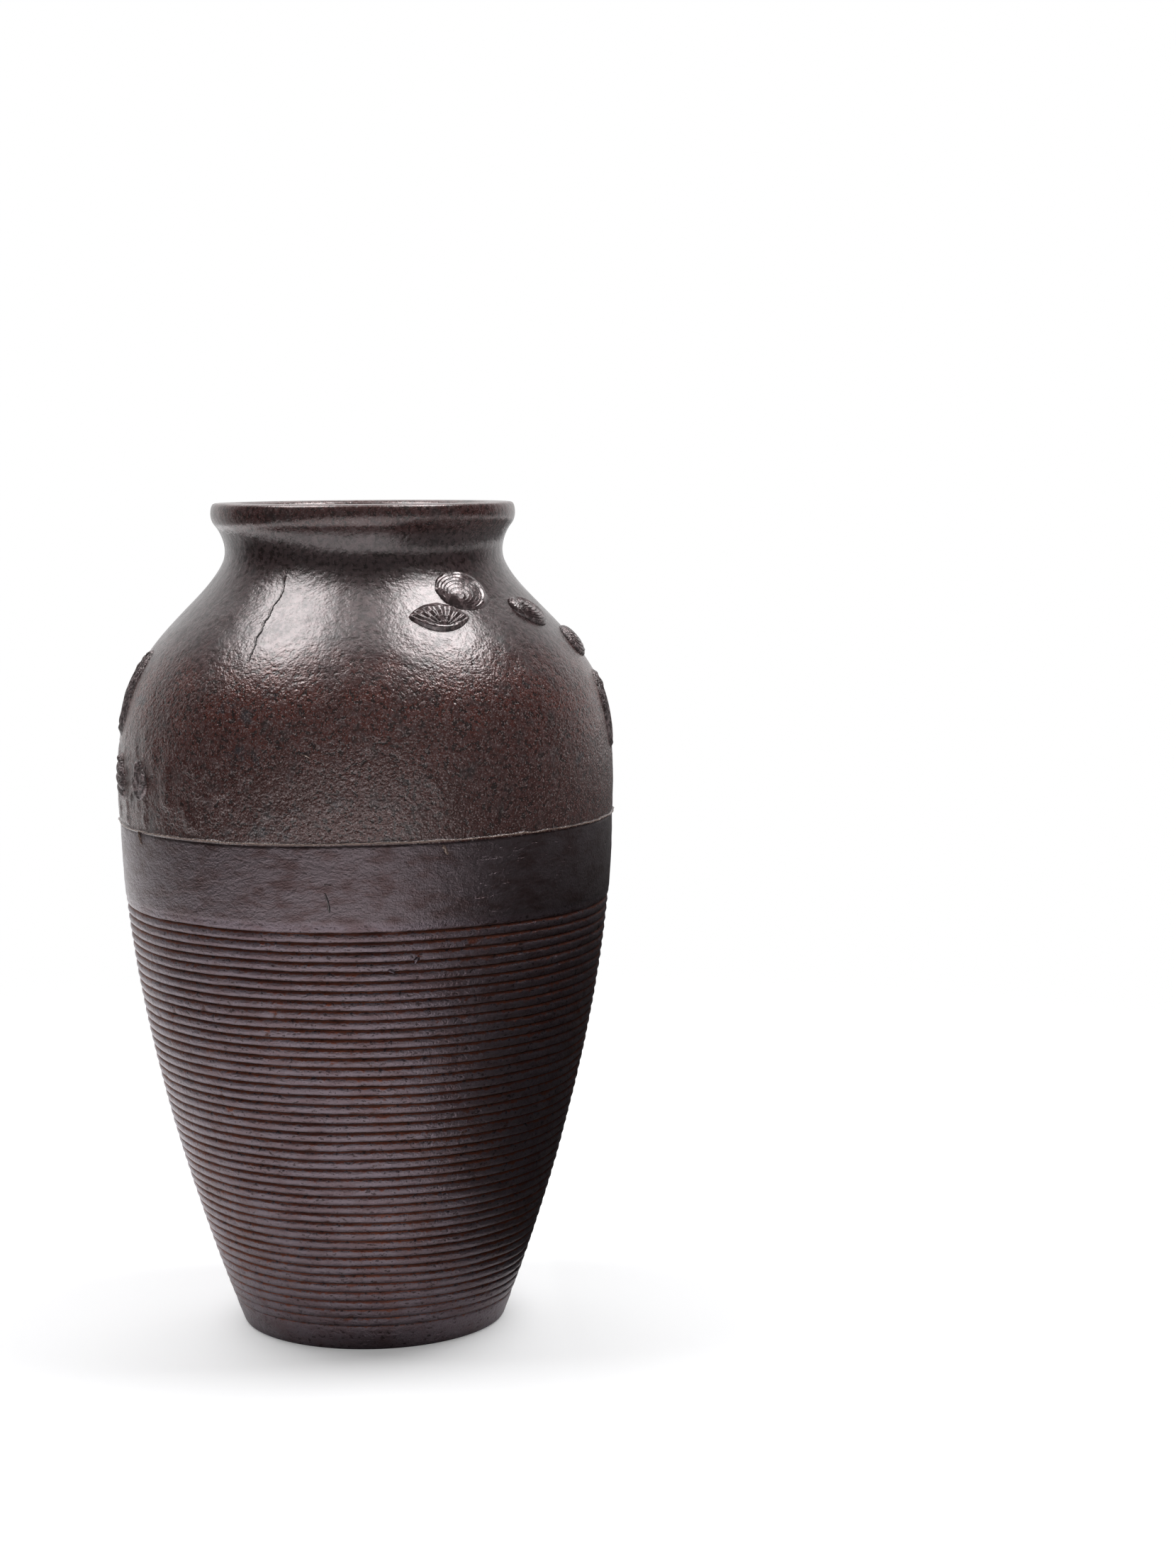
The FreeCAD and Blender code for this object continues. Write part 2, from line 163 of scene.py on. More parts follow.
def mesh_from_rings(name, rings, closed=True, marks=None):
    """A skin over rings of points, where closed with its last ring joined to the first.

    Marks are numbers kept on each point for the finish to read."""
    rows, steps = rings.shape[:2]
    index = np.arange(rows * steps).reshape(rows, steps)
    across = np.roll(index, -1, axis=1)
    if closed:
        above, above_across = np.roll(index, -1, axis=0), np.roll(across, -1, axis=0)
        quads = np.stack([index, across, above_across, above], axis=2).reshape(-1, 4)
    else:
        quads = np.stack([index[:-1], across[:-1], across[1:], index[1:]], axis=2).reshape(-1, 4)
    mesh = bpy.data.meshes.new(name)
    mesh.vertices.add(rows * steps)
    mesh.vertices.foreach_set("co", (rings * MM).astype(np.float32).ravel())
    mesh.loops.add(quads.size)
    mesh.loops.foreach_set("vertex_index", quads.ravel())
    mesh.polygons.add(len(quads))
    mesh.polygons.foreach_set("loop_start", np.arange(0, quads.size, 4))
    mesh.polygons.foreach_set("use_smooth", np.ones(len(quads), bool))
    for mark, values in (marks or {}).items():
        layer = mesh.attributes.new(mark, "FLOAT", "POINT")
        layer.data.foreach_set("value", np.asarray(values, np.float32).ravel())
    mesh.update()
    mesh.validate()
    return put(name, mesh)


def upper_outline():
    """Closed outline of the upper iron, outside first, and how many of its rows are outside."""
    outside = spaced(clamped_curve(shoulder_corners(), 400), OUTSIDE_STEP)
    flare = held((outside[:, 1] - FLARE_START) / FLARE_LENGTH)
    outside[:, 0] += FLARE_RISE * eased(flare)
    outside = np.concatenate([[(BELLY_RADIUS, SEAM)], outside])
    lip = spaced(clamped_curve(LIP_CORNERS, 200), LIP_STEP)[1:]
    land_top = HEIGHT - MOUTH_EDGE
    edge = [(MOUTH_RADIUS + MOUTH_EDGE * out, land_top + MOUTH_EDGE * up) for out, up in
            ((1.0, 1.0), (0.3, 1.0), (0.0, 0.6), (0.0, 0.0))]
    edge = spaced(clamped_curve(edge, 100), LIP_STEP)
    land_base = land_top - MOUTH_LAND
    corners = shoulder_corners()
    leans = ((1.0, 0.05), (0.93, 0.35), (0.8, 0.6), (0.75, 0.7))
    inside = [(r - WALL * out, z - WALL * up) for (r, z), (out, up) in zip(corners[1:5], leans)]
    inside = [(MOUTH_RADIUS, land_base), (MOUTH_RADIUS, land_base - WALL)] + inside[::-1]
    inside = spaced(clamped_curve(inside + [(BELLY_RADIUS - WALL, SEAM)], 300), INSIDE_STEP)
    land = [(MOUTH_RADIUS, land_top - LAND_MIDDLE)]
    return np.concatenate([outside, lip, edge, land, inside]), len(outside) + len(lip)


def skin_swell(radius, height, azimuths):
    """What the sand left uneven in the upper skin: broad swells, pebbles, and flaked patches low down."""
    points = around(azimuths, radius, height)
    coarse = np.clip((214 - height) / 30, 0.25, 1)
    swell = 0.16 * lumps(points, 17.0, 3) + 0.07 * lumps(points, 6.0, 4)
    pebble = coarse * (0.055 * lumps(points, 2.4, 5) + 0.03 * lumps(points, 1.3, 6))
    low_left = held((-16 - points[:, :, 0]) / 20) * held((190 - height) / 16)
    elsewhere = 0.7 * held(2.4 * lumps(points, 19.0, 9) - 0.9) * held((196 - height) / 14)
    flaked = held(3.5 * (lumps(points, (3.4, 3.4, 5.0), 7) + 0.3 * lumps(points, 1.5, 8)) - 0.4)
    return swell + pebble + FLAKE_RISE * flaked * np.maximum(low_left, elsewhere)


outline, outside_rows = upper_outline()
is_inside = (np.arange(len(outline)) >= outside_rows)[:, None]


def upper_lift(radius, height, azimuths):
    """The skin's unevenness, slighter inside, none at the seam and nowhere out beyond the fin."""
    lift = skin_swell(radius, height, azimuths) * np.where(is_inside, INSIDE_ROUGHNESS, 1.0)
    above_seam = held((height - SEAM) / 2.0)
    return np.minimum(lift * above_seam, BELLY_RADIUS + FIN_REACH - radius)


rings = turn(outline, STEPS_ROUND_UPPER, upper_lift)
below_mouth = held((HEIGHT - MOUTH_EDGE - 3.0 - rings[:, :, 2]) / 9.0)
inward = below_mouth * is_inside
upper = mesh_from_rings("upper_iron", rings, marks={"inside": inward})


def shader(name):
    """A new material, its node tree and its surface shader."""
    material = bpy.data.materials.new(name)
    material.use_nodes = True
    return material, material.node_tree, material.node_tree.nodes["Principled BSDF"]


def node(tree, kind, inputs=None, **settings):
    """A node with its settings made and each input set to a value or linked to another node's socket."""
    made = tree.nodes.new(kind)
    for setting, value in settings.items():
        setattr(made, setting, value)
    for socket, value in (inputs or {}).items():
        if isinstance(value, bpy.types.NodeSocket):
            tree.links.new(value, made.inputs[socket])
        else:
            made.inputs[socket].default_value = value
    return made


def maths(tree, operation, first, second=0.0, third=0.0):
    inputs = {0: first, 1: second, 2: third}
    return node(tree, "ShaderNodeMath", inputs, operation=operation).outputs[0]


def axis(tree, vector, number):
    """The part of a vector along x, y or z, numbered from 0."""
    return node(tree, "ShaderNodeSeparateXYZ", {0: vector}).outputs[number]


def times(tree, first, second):
    return maths(tree, "MULTIPLY", first, second)


def carried(tree, name):
    """The share that a mesh's points carry under a name, or 0 where they carry none."""
    return node(tree, "ShaderNodeAttribute", attribute_name=name).outputs["Fac"]


def blend(tree, share, first, second):
    inputs = {"Factor": share, 6: first, 7: second}
    return node(tree, "ShaderNodeMix", inputs, data_type="RGBA").outputs[2]


def band(tree, value, low, high):
    """0 below low, 1 above high and smooth between."""
    inputs = {0: value, 1: low, 2: high}
    return node(tree, "ShaderNodeMapRange", inputs, interpolation_type="SMOOTHSTEP").outputs[0]


def noise(tree, place, size_mm, detail=2.0, roughness=0.5, stretch=None):
    """Noise with features of about a size, in object space."""
    if stretch is not None:
        place = node(tree, "ShaderNodeMapping", {0: place, 3: stretch}).outputs[0]
    inputs = {"Vector": place, "Scale": 1 / (size_mm * MM), "Detail": detail, "Roughness": roughness}
    return node(tree, "ShaderNodeTexNoise", inputs).outputs[0]


def bump(tree, height, depth_mm, strength=1.0, before=None):
    inputs = {"Strength": strength, "Distance": depth_mm * MM, "Height": height}
    if before is not None:
        inputs["Normal"] = before
    return node(tree, "ShaderNodeBump", inputs).outputs[0]


BROWN = (0.068, 0.019, 0.015, 1)
RED_BROWN = (0.11, 0.024, 0.016, 1)
SLATE = (0.03, 0.028, 0.034, 1)
BLACK_BROWN = (0.013, 0.009, 0.009, 1)
FILM_GLINT_VIOLET = (0.1, 0.062, 0.063, 1)
PALE_FILM_GLINT = (0.19, 0.135, 0.137, 1)
UMBER = (0.06, 0.037, 0.038, 1)
FROST_AND_GLINT = (0.3, 0.24, 0.235, 1)
PIT_SHADE_BROWN = (0.022, 0.008, 0.007, 1)
RUN_BROWN = (0.05, 0.012, 0.009, 1)
RECESS_SHADE_BLACK = (0.008, 0.005, 0.005, 1)
RUST = (0.17, 0.07, 0.028, 1)
REDDENED_LEVELS = (168 * MM, 198 * MM)
RUN_LEVELS = (186 * MM, 168 * MM)
LIP_LEVELS = (240 * MM, 244 * MM)
FILM_LEVELS = (144 * MM, 178 * MM)


def iron(name, grain=1.0, coarse_below=None, rough=0.26, film=0.5, red=True):
    """Browned and waxed cast iron: sand grain, red-brown and black clouds, a grey film on what stands out.

    The film is made light as a painted glint on the grain's tops, and the pits between are darkened as
    painted shade. Pale specks are partly dust and partly painted glints. A mesh may carry painted shade,
    drawn black.
    The grain is coarse below a level, where one is given. What isn't red has the shells' paler film, which
    is partly a painted highlight."""
    material, tree, surface = shader(name)
    place = node(tree, "ShaderNodeTexCoord").outputs["Object"]
    level = axis(tree, place, 2)
    pebbles = noise(tree, place, 1.35, 3.0, 0.55)
    grit = noise(tree, place, 0.7, 2.0, 0.5)
    dents = noise(tree, place, 4.5, 3.0, 0.55)
    clouds = noise(tree, place, 14.0, 6.0, 0.68)
    patches = noise(tree, place, 6.0, 6.0, 0.7)
    roughened = 0.0
    if coarse_below is not None:
        wavering = maths(tree, "MULTIPLY_ADD", dents, 20 * MM, level)
        roughened = band(tree, wavering, (coarse_below + 20) * MM, (coarse_below - 2) * MM)
    belly = roughened if red else 0.0
    reddened = times(tree, band(tree, clouds, 0.42, 0.58), belly)
    reddened = times(tree, reddened, band(tree, level, *REDDENED_LEVELS))
    runs = band(tree, noise(tree, place, 4.5, 4.0, 0.65, (1.0, 1.0, 0.25)), 0.52, 0.6)
    runs = times(tree, runs, band(tree, level, *RUN_LEVELS))
    runs = times(tree, runs, belly)
    on_lip = band(tree, level, *LIP_LEVELS)
    browned = maths(tree, "MAXIMUM", roughened, times(tree, on_lip, 0.75))
    colour = blend(tree, browned, UMBER, BROWN)
    colour = blend(tree, reddened, colour, RED_BROWN)
    colour = blend(tree, band(tree, patches, 0.52, 0.72), colour, BLACK_BROWN)
    # Painted shade: the low pits of the sand grain darkened.
    pits = times(tree, band(tree, pebbles, 0.47, 0.4), min(1.0, grain))
    colour = blend(tree, pits, colour, PIT_SHADE_BROWN)
    colour = blend(tree, times(tree, runs, 0.8), colour, RUN_BROWN)
    # Grey film on what stands out, made light as a painted glint on the grain's tops.
    film_and_glints = times(tree, band(tree, pebbles, 0.51, 0.6), film)
    film_and_glints = times(tree, film_and_glints, maths(tree, "MULTIPLY_ADD", runs, -0.7, 1.0))
    if red:
        film_and_glints = times(tree, film_and_glints, band(tree, level, *FILM_LEVELS))
    colour = blend(tree, film_and_glints, colour, FILM_GLINT_VIOLET if red else PALE_FILM_GLINT)
    stains = band(tree, noise(tree, place, 14.0, 6.0, 0.72), 0.57, 0.66)
    stains = times(tree, stains, belly)
    colour = blend(tree, times(tree, stains, 0.75), colour, SLATE)
    # Pale specks: partly white dust, partly painted glints on the grain.
    specks = band(tree, noise(tree, place, 0.5, 2.0, 0.5), 0.57, 0.64)
    frost_and_glint_share = maths(tree, "MAXIMUM", times(tree, on_lip, 0.5), roughened) if red else 1.0
    frost_and_glint_specks = times(tree, frost_and_glint_share, 0.6 * min(1.0, grain))
    colour = blend(tree, times(tree, specks, frost_and_glint_specks), colour, FROST_AND_GLINT)
    # Painted shade carried on the mesh: black in the shells' hollows and along their rims, and down one side
    # of the cracks.
    recess_shade = carried(tree, "recess_shade")
    colour = blend(tree, recess_shade, colour, RECESS_SHADE_BLACK)
    inside = carried(tree, "inside")
    colour = blend(tree, inside, colour, RUST)
    tree.links.new(colour, surface.inputs["Base Color"])
    gloss = maths(tree, "MULTIPLY_ADD", patches, 0.3, rough - 0.15)
    gloss = maths(tree, "MAXIMUM", gloss, times(tree, inside, 0.85))
    gloss = maths(tree, "MAXIMUM", gloss, times(tree, recess_shade, 0.6))
    tree.links.new(gloss, surface.inputs["Roughness"])
    surface.inputs["Metallic"].default_value = 0.25
    surface.inputs["Specular IOR Level"].default_value = 0.95
    broad = bump(tree, dents, 0.5, 0.35)
    pebbled = bump(tree, pebbles, 0.8, 0.8 * grain, broad)
    gritty = bump(tree, grit, 0.45, 0.9 * grain, pebbled)
    if coarse_below is not None:
        for bumped, low, high in ((pebbled, 0.12, 0.45), (gritty, 0.12, 0.55)):
            strength = maths(tree, "MULTIPLY_ADD", roughened, (high - low) * grain, low * grain)
            tree.links.new(strength, bumped.node.inputs["Strength"])
    tree.links.new(gritty, surface.inputs["Normal"])
    return material


upper.data.materials.append(iron("iron_upper_skin", coarse_below=204))
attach(upper, "root")
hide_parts("upper_casting")


# The iron below the seam: a smooth band, then turned ribs that run round the flank down to a plain foot.
# The ribs came from a template swept round the clay, so each is a little uneven and the lowest ones fade.

FOOT_RADIUS = 40.4
FOOT_EDGE = 0.8
RIB_COUNT = 45
RIB_TOP = 133.6
RIB_BOTTOM = 5.3
RIB_DEPTH = 0.95
RIB_ROWS = (0.0, 0.06, 0.18, 0.42, 0.7, 0.9)
FOOT_LEVELS = [FOOT_EDGE, 1.6, 2.6, 3.6, 4.5]
LEDGE = [(29.0, 10.0), (29.0, 7.0), (32.4, 7.0), (32.4, 4.5), (32.4, 1.2), (32.9, 0.35), (33.6, 0.0)]
STANDING_RING = [(36.5, 0.0), (39.2, 0.0), (40.0, 0.25)]
ROWS_SEEN_BELOW = 7
STEPS_ROUND_LOWER = 296


def flank_corners():
    """Corners of the curve from the foot up to the seam, as shares of its breadth and of its height."""
    width = BELLY_RADIUS - FOOT_RADIUS
    shares = ((0.522, 0.292), (1.006, 0.698))
    corners = [(FOOT_RADIUS + width * out, SEAM * up) for out, up in shares]
    return [(FOOT_RADIUS, FOOT_EDGE)] + corners + [(BELLY_RADIUS, SEAM)]


def lower_outline():
    """Closed outline of the lower iron from the foot's ring up the outside and down the inside."""
    curve = clamped_curve(flank_corners(), 2000)
    pitch = (RIB_TOP - RIB_BOTTOM) / RIB_COUNT
    levels = [RIB_BOTTOM + (rib + share) * pitch for rib in range(RIB_COUNT) for share in RIB_ROWS]
    levels = FOOT_LEVELS + levels + list(np.linspace(RIB_TOP, SEAM, 24))
    outside = np.stack([np.interp(levels, curve[:, 1], curve[:, 0]), levels], axis=1)
    corners = flank_corners()
    inside = [(BELLY_RADIUS - WALL, SEAM)]
    inside += [(r - WALL * out, z - WALL * up) for (r, z), (out, up) in
               zip(corners[2:0:-1], ((1.0, -0.1), (0.95, -0.3)))]
    inside = spaced(clamped_curve(inside + [(39.6, 10.0)], 300), 9.0)
    return np.concatenate([outside, inside, LEDGE, STANDING_RING]), len(outside)


outline, outside_rows = lower_outline()


def rib_lift(radius, height, azimuths):
    """Ribs with rounded crests over narrow grooves; sunk below the outline so that the crests reach it."""
    pitch = (RIB_TOP - RIB_BOTTOM) / RIB_COUNT
    points = around(azimuths, radius, height)
    along = np.clip((height - RIB_BOTTOM) / pitch + 1e-6, 0, RIB_COUNT)
    crest = np.abs(np.sin(math.pi * (along - np.floor(along)) ** 0.8)) ** 0.5
    ends = held((height - RIB_BOTTOM) / 1.5) * held((RIB_TOP - height) / 1.2)
    fade = 0.4 + 0.6 * held((height - 2) / 30)
    top_fade = np.clip((RIB_TOP - height) / 4.5 + 0.35 + 0.5 * lumps(points, 7.0, 16), 0.12, 1)
    unevenness = 1 + 0.2 * lumps(points, 9.0, 13)
    nicks = held(lumps(points * (1, 1, 1.4), 2.3, 17) - 0.62) * 1.3
    depth = RIB_DEPTH * fade * top_fade * unevenness
    lift = -ends * (0.1 + depth * (1 - crest) + nicks * crest)
    lift += 0.09 * lumps(points, 16.0, 14) + 0.07 * lumps(points, 2.6, 15) - 0.1
    rows = np.arange(len(lift))[:, None]
    return np.where(rows < outside_rows, np.minimum(lift, 0.0) * np.clip(height / 4, 0.1, 1), 0.0)


rings = turn(outline, STEPS_ROUND_LOWER, rib_lift)
wander = 0.22 * lumps(rings * (1, 1, 1.6), 21.0, 11) + 0.07 * lumps(rings, 5.0, 12)
wander *= held((rings[:, :, 2] - RIB_BOTTOM) / 6) * held((SEAM - 3 - rings[:, :, 2]) / 12)
rings[:outside_rows, :, 2] -= wander[:outside_rows]
round_radius = np.hypot(rings[:, :, 0], rings[:, :, 1])
sunk = held((outline[:, :1] - round_radius - 0.2) / 0.8)
inward = np.zeros(rings.shape[:2])
inward[outside_rows:-ROWS_SEEN_BELOW] = 1.0
lower = mesh_from_rings("lower_iron", rings, marks={"inside": inward, "groove": sunk})

CREST_VIOLET = (0.148, 0.116, 0.131, 1)
CREST_BROWN = (0.125, 0.086, 0.093, 1)
GROOVE_BROWN = (0.135, 0.05, 0.038, 1)
GROOVE_RUST = (0.18, 0.058, 0.034, 1)
GROOVE_SHADE_BLACK = (0.006, 0.004, 0.004, 1)
UNDER_SLOPE_SHADE = (0.075, 0.04, 0.036, 1)
CREST_PIT_SHADE = (0.02, 0.01, 0.009, 1)
BAND_VIOLET = (0.128, 0.1, 0.108, 1)
BAND_BROWN = (0.075, 0.043, 0.042, 1)
BARE_GREY = (0.1, 0.084, 0.09, 1)


def ribbed_iron(name):
    """Browned iron with a grey-violet film on the crests and red-brown in the grooves.

    Painted shade: black at the bottoms of the grooves, dark pits on the crests and a darker brown on slopes
    that face down.
    """
    material, tree, surface = shader(name)
    spot = node(tree, "ShaderNodeTexCoord").outputs
    place = spot["Object"]
    level = axis(tree, place, 2)
    facing_up = axis(tree, spot["Normal"], 2)
    groove = carried(tree, "groove")
    inside = carried(tree, "inside")
    streaks = noise(tree, place, 9.0, 5.0, 0.62, (1.0, 1.0, 2.4))
    pebbles = noise(tree, place, 1.1, 4.0, 0.6, (0.7, 0.7, 1.2))
    grit = noise(tree, place, 0.5, 3.0, 0.6)
    clouds = noise(tree, place, 24.0, 4.0, 0.6)
    pits = noise(tree, place, 2.2, 3.0, 0.6, (0.35, 0.35, 1.7))
    crest = blend(tree, band(tree, streaks, 0.4, 0.65), CREST_VIOLET, CREST_BROWN)
    deep = blend(tree, band(tree, clouds, 0.36, 0.66), GROOVE_BROWN, GROOVE_RUST)
    # Painted shade: the grooves' brown is darker on slopes that face down.
    deep = blend(tree, band(tree, facing_up, -0.25, 0.05), UNDER_SLOPE_SHADE, deep)
    worn_in = maths(tree, "MULTIPLY_ADD", maths(tree, "SUBTRACT", pebbles, 0.5), 1.3, groove)
    colour = blend(tree, band(tree, worn_in, 0.25, 0.52), crest, deep)
    # Painted shade: the low pits on the crests darkened.
    crest_pit_shade = times(tree, band(tree, pebbles, 0.42, 0.34), 0.75)
    colour = blend(tree, crest_pit_shade, colour, CREST_PIT_SHADE)
    above_ribs = band(tree, level, (RIB_TOP - 1.2) * MM, (RIB_TOP + 0.8) * MM)
    colour = blend(tree, above_ribs, colour, BAND_VIOLET)
    browned = times(tree, above_ribs, band(tree, streaks, 0.42, 0.68))
    colour = blend(tree, times(tree, browned, 0.8), colour, BAND_BROWN)
    # Painted shade: black at the bottoms of the grooves.
    colour = blend(tree, band(tree, groove, 0.8, 0.97), colour, GROOVE_SHADE_BLACK)
    standing_face = times(tree, band(tree, facing_up, -0.5, -0.9), band(tree, level, 4 * MM, 2 * MM))
    colour = blend(tree, times(tree, standing_face, 0.8), colour, BARE_GREY)
    colour = blend(tree, inside, colour, RUST)
    tree.links.new(colour, surface.inputs["Base Color"])
    gloss = maths(tree, "MULTIPLY_ADD", groove, 0.3, 0.32)
    gloss = maths(tree, "MAXIMUM", gloss, times(tree, inside, 0.85))
    tree.links.new(gloss, surface.inputs["Roughness"])
    surface.inputs["Metallic"].default_value = 0.9
    surface.inputs["Specular IOR Level"].default_value = 0.95
    on_band = band(tree, level, (RIB_TOP - 2.6) * MM, (RIB_TOP + 2.4) * MM)
    scars = times(tree, band(tree, pits, 0.62, 0.7), on_band)
    scars = times(tree, scars, band(tree, clouds, 0.46, 0.56))
    swelling = bump(tree, noise(tree, place, 4.5, 4.0, 0.6), 0.5, 0.4)
    scarred = bump(tree, maths(tree, "SUBTRACT", 1.0, scars), 0.25, 0.8, swelling)
    pebbled = bump(tree, pebbles, 0.34, 1.0, scarred)
    tree.links.new(bump(tree, grit, 0.18, 1.0, pebbled), surface.inputs["Normal"])
    return material


flank_iron = ribbed_iron("iron_ribbed_flank")
lower.data.materials.append(flank_iron)
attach(lower, "root")
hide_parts("lower_casting")


# The fin of metal that ran into the joint between the two halves of the mould, filed back but never flush.
# It is thin, wavy and chipped, and its edge is rubbed to a lighter brown.

FIN_LEVEL = SEAM + 0.55
FIN_SECTION = ((-0.9, -1.0), (0.0, -0.95), (0.8, -0.4), (1.0, 0.1), (0.75, 0.6), (0.0, 1.5), (-0.9, 2.0))
STEPS_ROUND_FIN = 1440
RUBBED = (0.27, 0.18, 0.14, 1)


def seam_fin():
    """The fin's section carried round the seam: outwards by its reach, and up and down by its thickness."""
    azimuths = np.linspace(0, 2 * math.pi, STEPS_ROUND_FIN, endpoint=False)
    circle = around(azimuths, BELLY_RADIUS, np.zeros(STEPS_ROUND_FIN))
    level = FIN_LEVEL + seam_rise(azimuths) + 0.12 * lumps(circle, 2.6, 21)
    reach = 0.52 + 0.2 * lumps(circle, 3.4, 22) + 0.16 * lumps(circle, 1.3, 23)
    chips = 0.5 * held(lumps(circle, 9.0, 24) - 0.45)
    reach = np.clip(reach - chips, 0.12, 0.78)
    thick = 0.3 + 0.1 * lumps(circle, 4.0, 25)
    rows = [around(azimuths, BELLY_RADIUS + np.where(out < 0, out, out * reach), level + thick * up)
            for out, up in FIN_SECTION]
    worn = [np.full(STEPS_ROUND_FIN, max(0.0, out)) for out, up in FIN_SECTION]
    return mesh_from_rings("seam_fin", np.array(rows), marks={"worn": worn})


fin = seam_fin()
fin_iron = iron("iron_rubbed_fin", grain=0.7)
fin_tree = fin_iron.node_tree
fin_surface = fin_tree.nodes["Principled BSDF"]
unrubbed = fin_surface.inputs["Base Color"].links[0].from_socket
worn = carried(fin_tree, "worn")
worn = times(fin_tree, band(fin_tree, worn, 0.3, 1.0), 0.75)
fin_tree.links.new(blend(fin_tree, worn, unrubbed, RUBBED), fin_surface.inputs["Base Color"])
fin.data.materials.append(fin_iron)
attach(fin, "root")


# Eight shells in low relief on the shoulder, pressed into the mould and cast in one with the wall.
# Those on the right are a clam, a fan, a mussel, a small round one and a long one; three lie on the left.

RELIEF_STEPS = 120
RELIEF_ROWS = 44
RELIEF_SUNK = -0.7
RIM_RISE = 0.22
# Painted shade on the shells: along the rim where each meets the wall, and in its hollows.
RIM_SHADE_DARKNESS = 0.12
RECESS_SHADE_DARKNESS = 0.3

# On the shells the pale film on what stands out is partly a painted highlight.
relief_iron = iron("iron_shell_relief", grain=0.12, rough=0.24, film=0.9, red=False)
dull_iron = iron("iron_dull_relief", grain=0.9, rough=0.36, film=1.0, red=False)

meridian = clamped_curve(flank_corners(), 1200)[:-1]
meridian = np.concatenate([meridian, clamped_curve(shoulder_corners(), 1200)])
meridian_length = np.concatenate([[0], np.cumsum(np.hypot(*np.diff(meridian, axis=0).T))])
meridian_slope = np.gradient(meridian, axis=0)
meridian_slope /= np.hypot(*meridian_slope.T)[:, None]


def on_wall(azimuth, level, across, up, lift):
    """Points over the shoulder at distances across and up from a place on it, lifted along its normal."""
    start = np.interp(level, meridian[:, 1], meridian_length)
    along = start + up
    radius = np.interp(along, meridian_length, meridian[:, 0])
    height = np.interp(along, meridian_length, meridian[:, 1])
    out = np.interp(along, meridian_length, meridian_slope[:, 1])
    rise = -np.interp(along, meridian_length, meridian_slope[:, 0])
    angle = math.radians(azimuth) + across / radius
    return around(angle, radius + lift * out, height + lift * rise)


def close_ends(piece, steps):
    """Fill the first and the last ring of a skin."""
    edit = bmesh.new()
    edit.from_mesh(piece.data)
    edit.verts.ensure_lookup_table()
    edit.faces.new([edit.verts[step] for step in range(steps)][::-1])
    edit.faces.new([edit.verts[len(edit.verts) - steps + step] for step in range(steps)])
    edit.to_mesh(piece.data)
    edit.free()
    piece.data.shade_smooth()


def oval(angle):
    return 1.0, 1.0


def relief(name, node_name, azimuth, level, length, breadth, rise, turned=0.0, edge=oval,
           finish=relief_iron):
    """A closed piece of relief on the shoulder: a skin over its plan and a back sunk in the wall.

    The plan reaches edge(angle) of its half sizes, across and up. At a share t of the way from its middle to
    its rim, and at x across and y up, it stands rise(t, x, y) out of the wall."""
    angles = np.linspace(0, 2 * math.pi, RELIEF_STEPS, endpoint=False)
    shares = np.concatenate([np.linspace(0.02, 0.97, RELIEF_ROWS - 3), [0.985, 1.0, 1.0]])
    t, angle = np.meshgrid(shares, angles, indexing="ij")
    reach_x, reach_y = edge(angle)
    x = reach_x * t * np.cos(angle) * breadth / 2
    y = reach_y * t * np.sin(angle) * length / 2
    high = rise(t, x, y)
    even = sum(np.roll(high, step, axis=1) for step in (-3, -1, 1, 3)) / 8
    even += sum(np.roll(high, step, axis=0) for step in (-3, -1, 1, 3)) / 8
    # Painted shade: darker where the skin lies lower than round about, and along the rim where the shell
    # meets the wall.
    recess_shade = held((even - high - 0.02) / 0.14) * RECESS_SHADE_DARKNESS
    recess_shade[:4] = 0
    recess_shade[-3:] = RIM_SHADE_DARKNESS
    high[-2] = np.minimum(high[-2], RIM_RISE)
    high[-1] = RELIEF_SUNK
    spin = math.radians(turned)
    across = x * math.cos(spin) - y * math.sin(spin)
    up = x * math.sin(spin) + y * math.cos(spin)
    top = on_wall(azimuth, level, across, up, high)
    back = on_wall(azimuth, level, across[-1:] * 0.5, up[-1:] * 0.5, high[-1:])
    rings = np.concatenate([top, back])[::-1]
    recess_shade = np.concatenate([recess_shade, recess_shade[:1] * 0])[::-1]
    piece = mesh_from_rings(name, rings, closed=False, marks={"recess_shade": recess_shade})
    close_ends(piece, RELIEF_STEPS)
    piece.data.materials.append(finish)
    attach(piece, "root")
    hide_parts(node_name)


def domed(share, fullness, roundness):
    """A dome of height 1 at its middle that falls to nothing at its rim."""
    return held(1 - share ** fullness) ** roundness


def towards_rim(t, steepness, least=0.0):
    """1 over most of a shell, less near its rim."""
    return np.clip((1 - t) * steepness, least, 1)


def knob(x, y, middle_x, middle_y, half_width, half_height):
    """A soft bump of height 1 about a place."""
    return np.exp(-(((y - middle_y) / half_height) ** 2 + ((x - middle_x) / half_width) ** 2))


def growth(x, y, beak_x, beak_y, half_breadth, half_length):
    """Share of the way from the beak of an oval shell to its margin, as its rings of growth run."""
    dx, dy = x - beak_x, y - beak_y
    square = (dx / half_breadth) ** 2 + (dy / half_length) ** 2 + 1e-9
    middle = 2 * (beak_x * dx / half_breadth ** 2 + beak_y * dy / half_length ** 2)
    rest = (beak_x / half_breadth) ** 2 + (beak_y / half_length) ** 2 - 1
    return 2 * square / (np.sqrt(middle ** 2 - 4 * square * rest) - middle)


def rests(share, count, sharpness=1.8):
    """Saw-like rings: each rises slowly outwards and drops at its edge."""
    phase = share * count
    return (phase - np.floor(phase)) ** sharpness


CLAM_BEAK = (-4.4, -3.6)


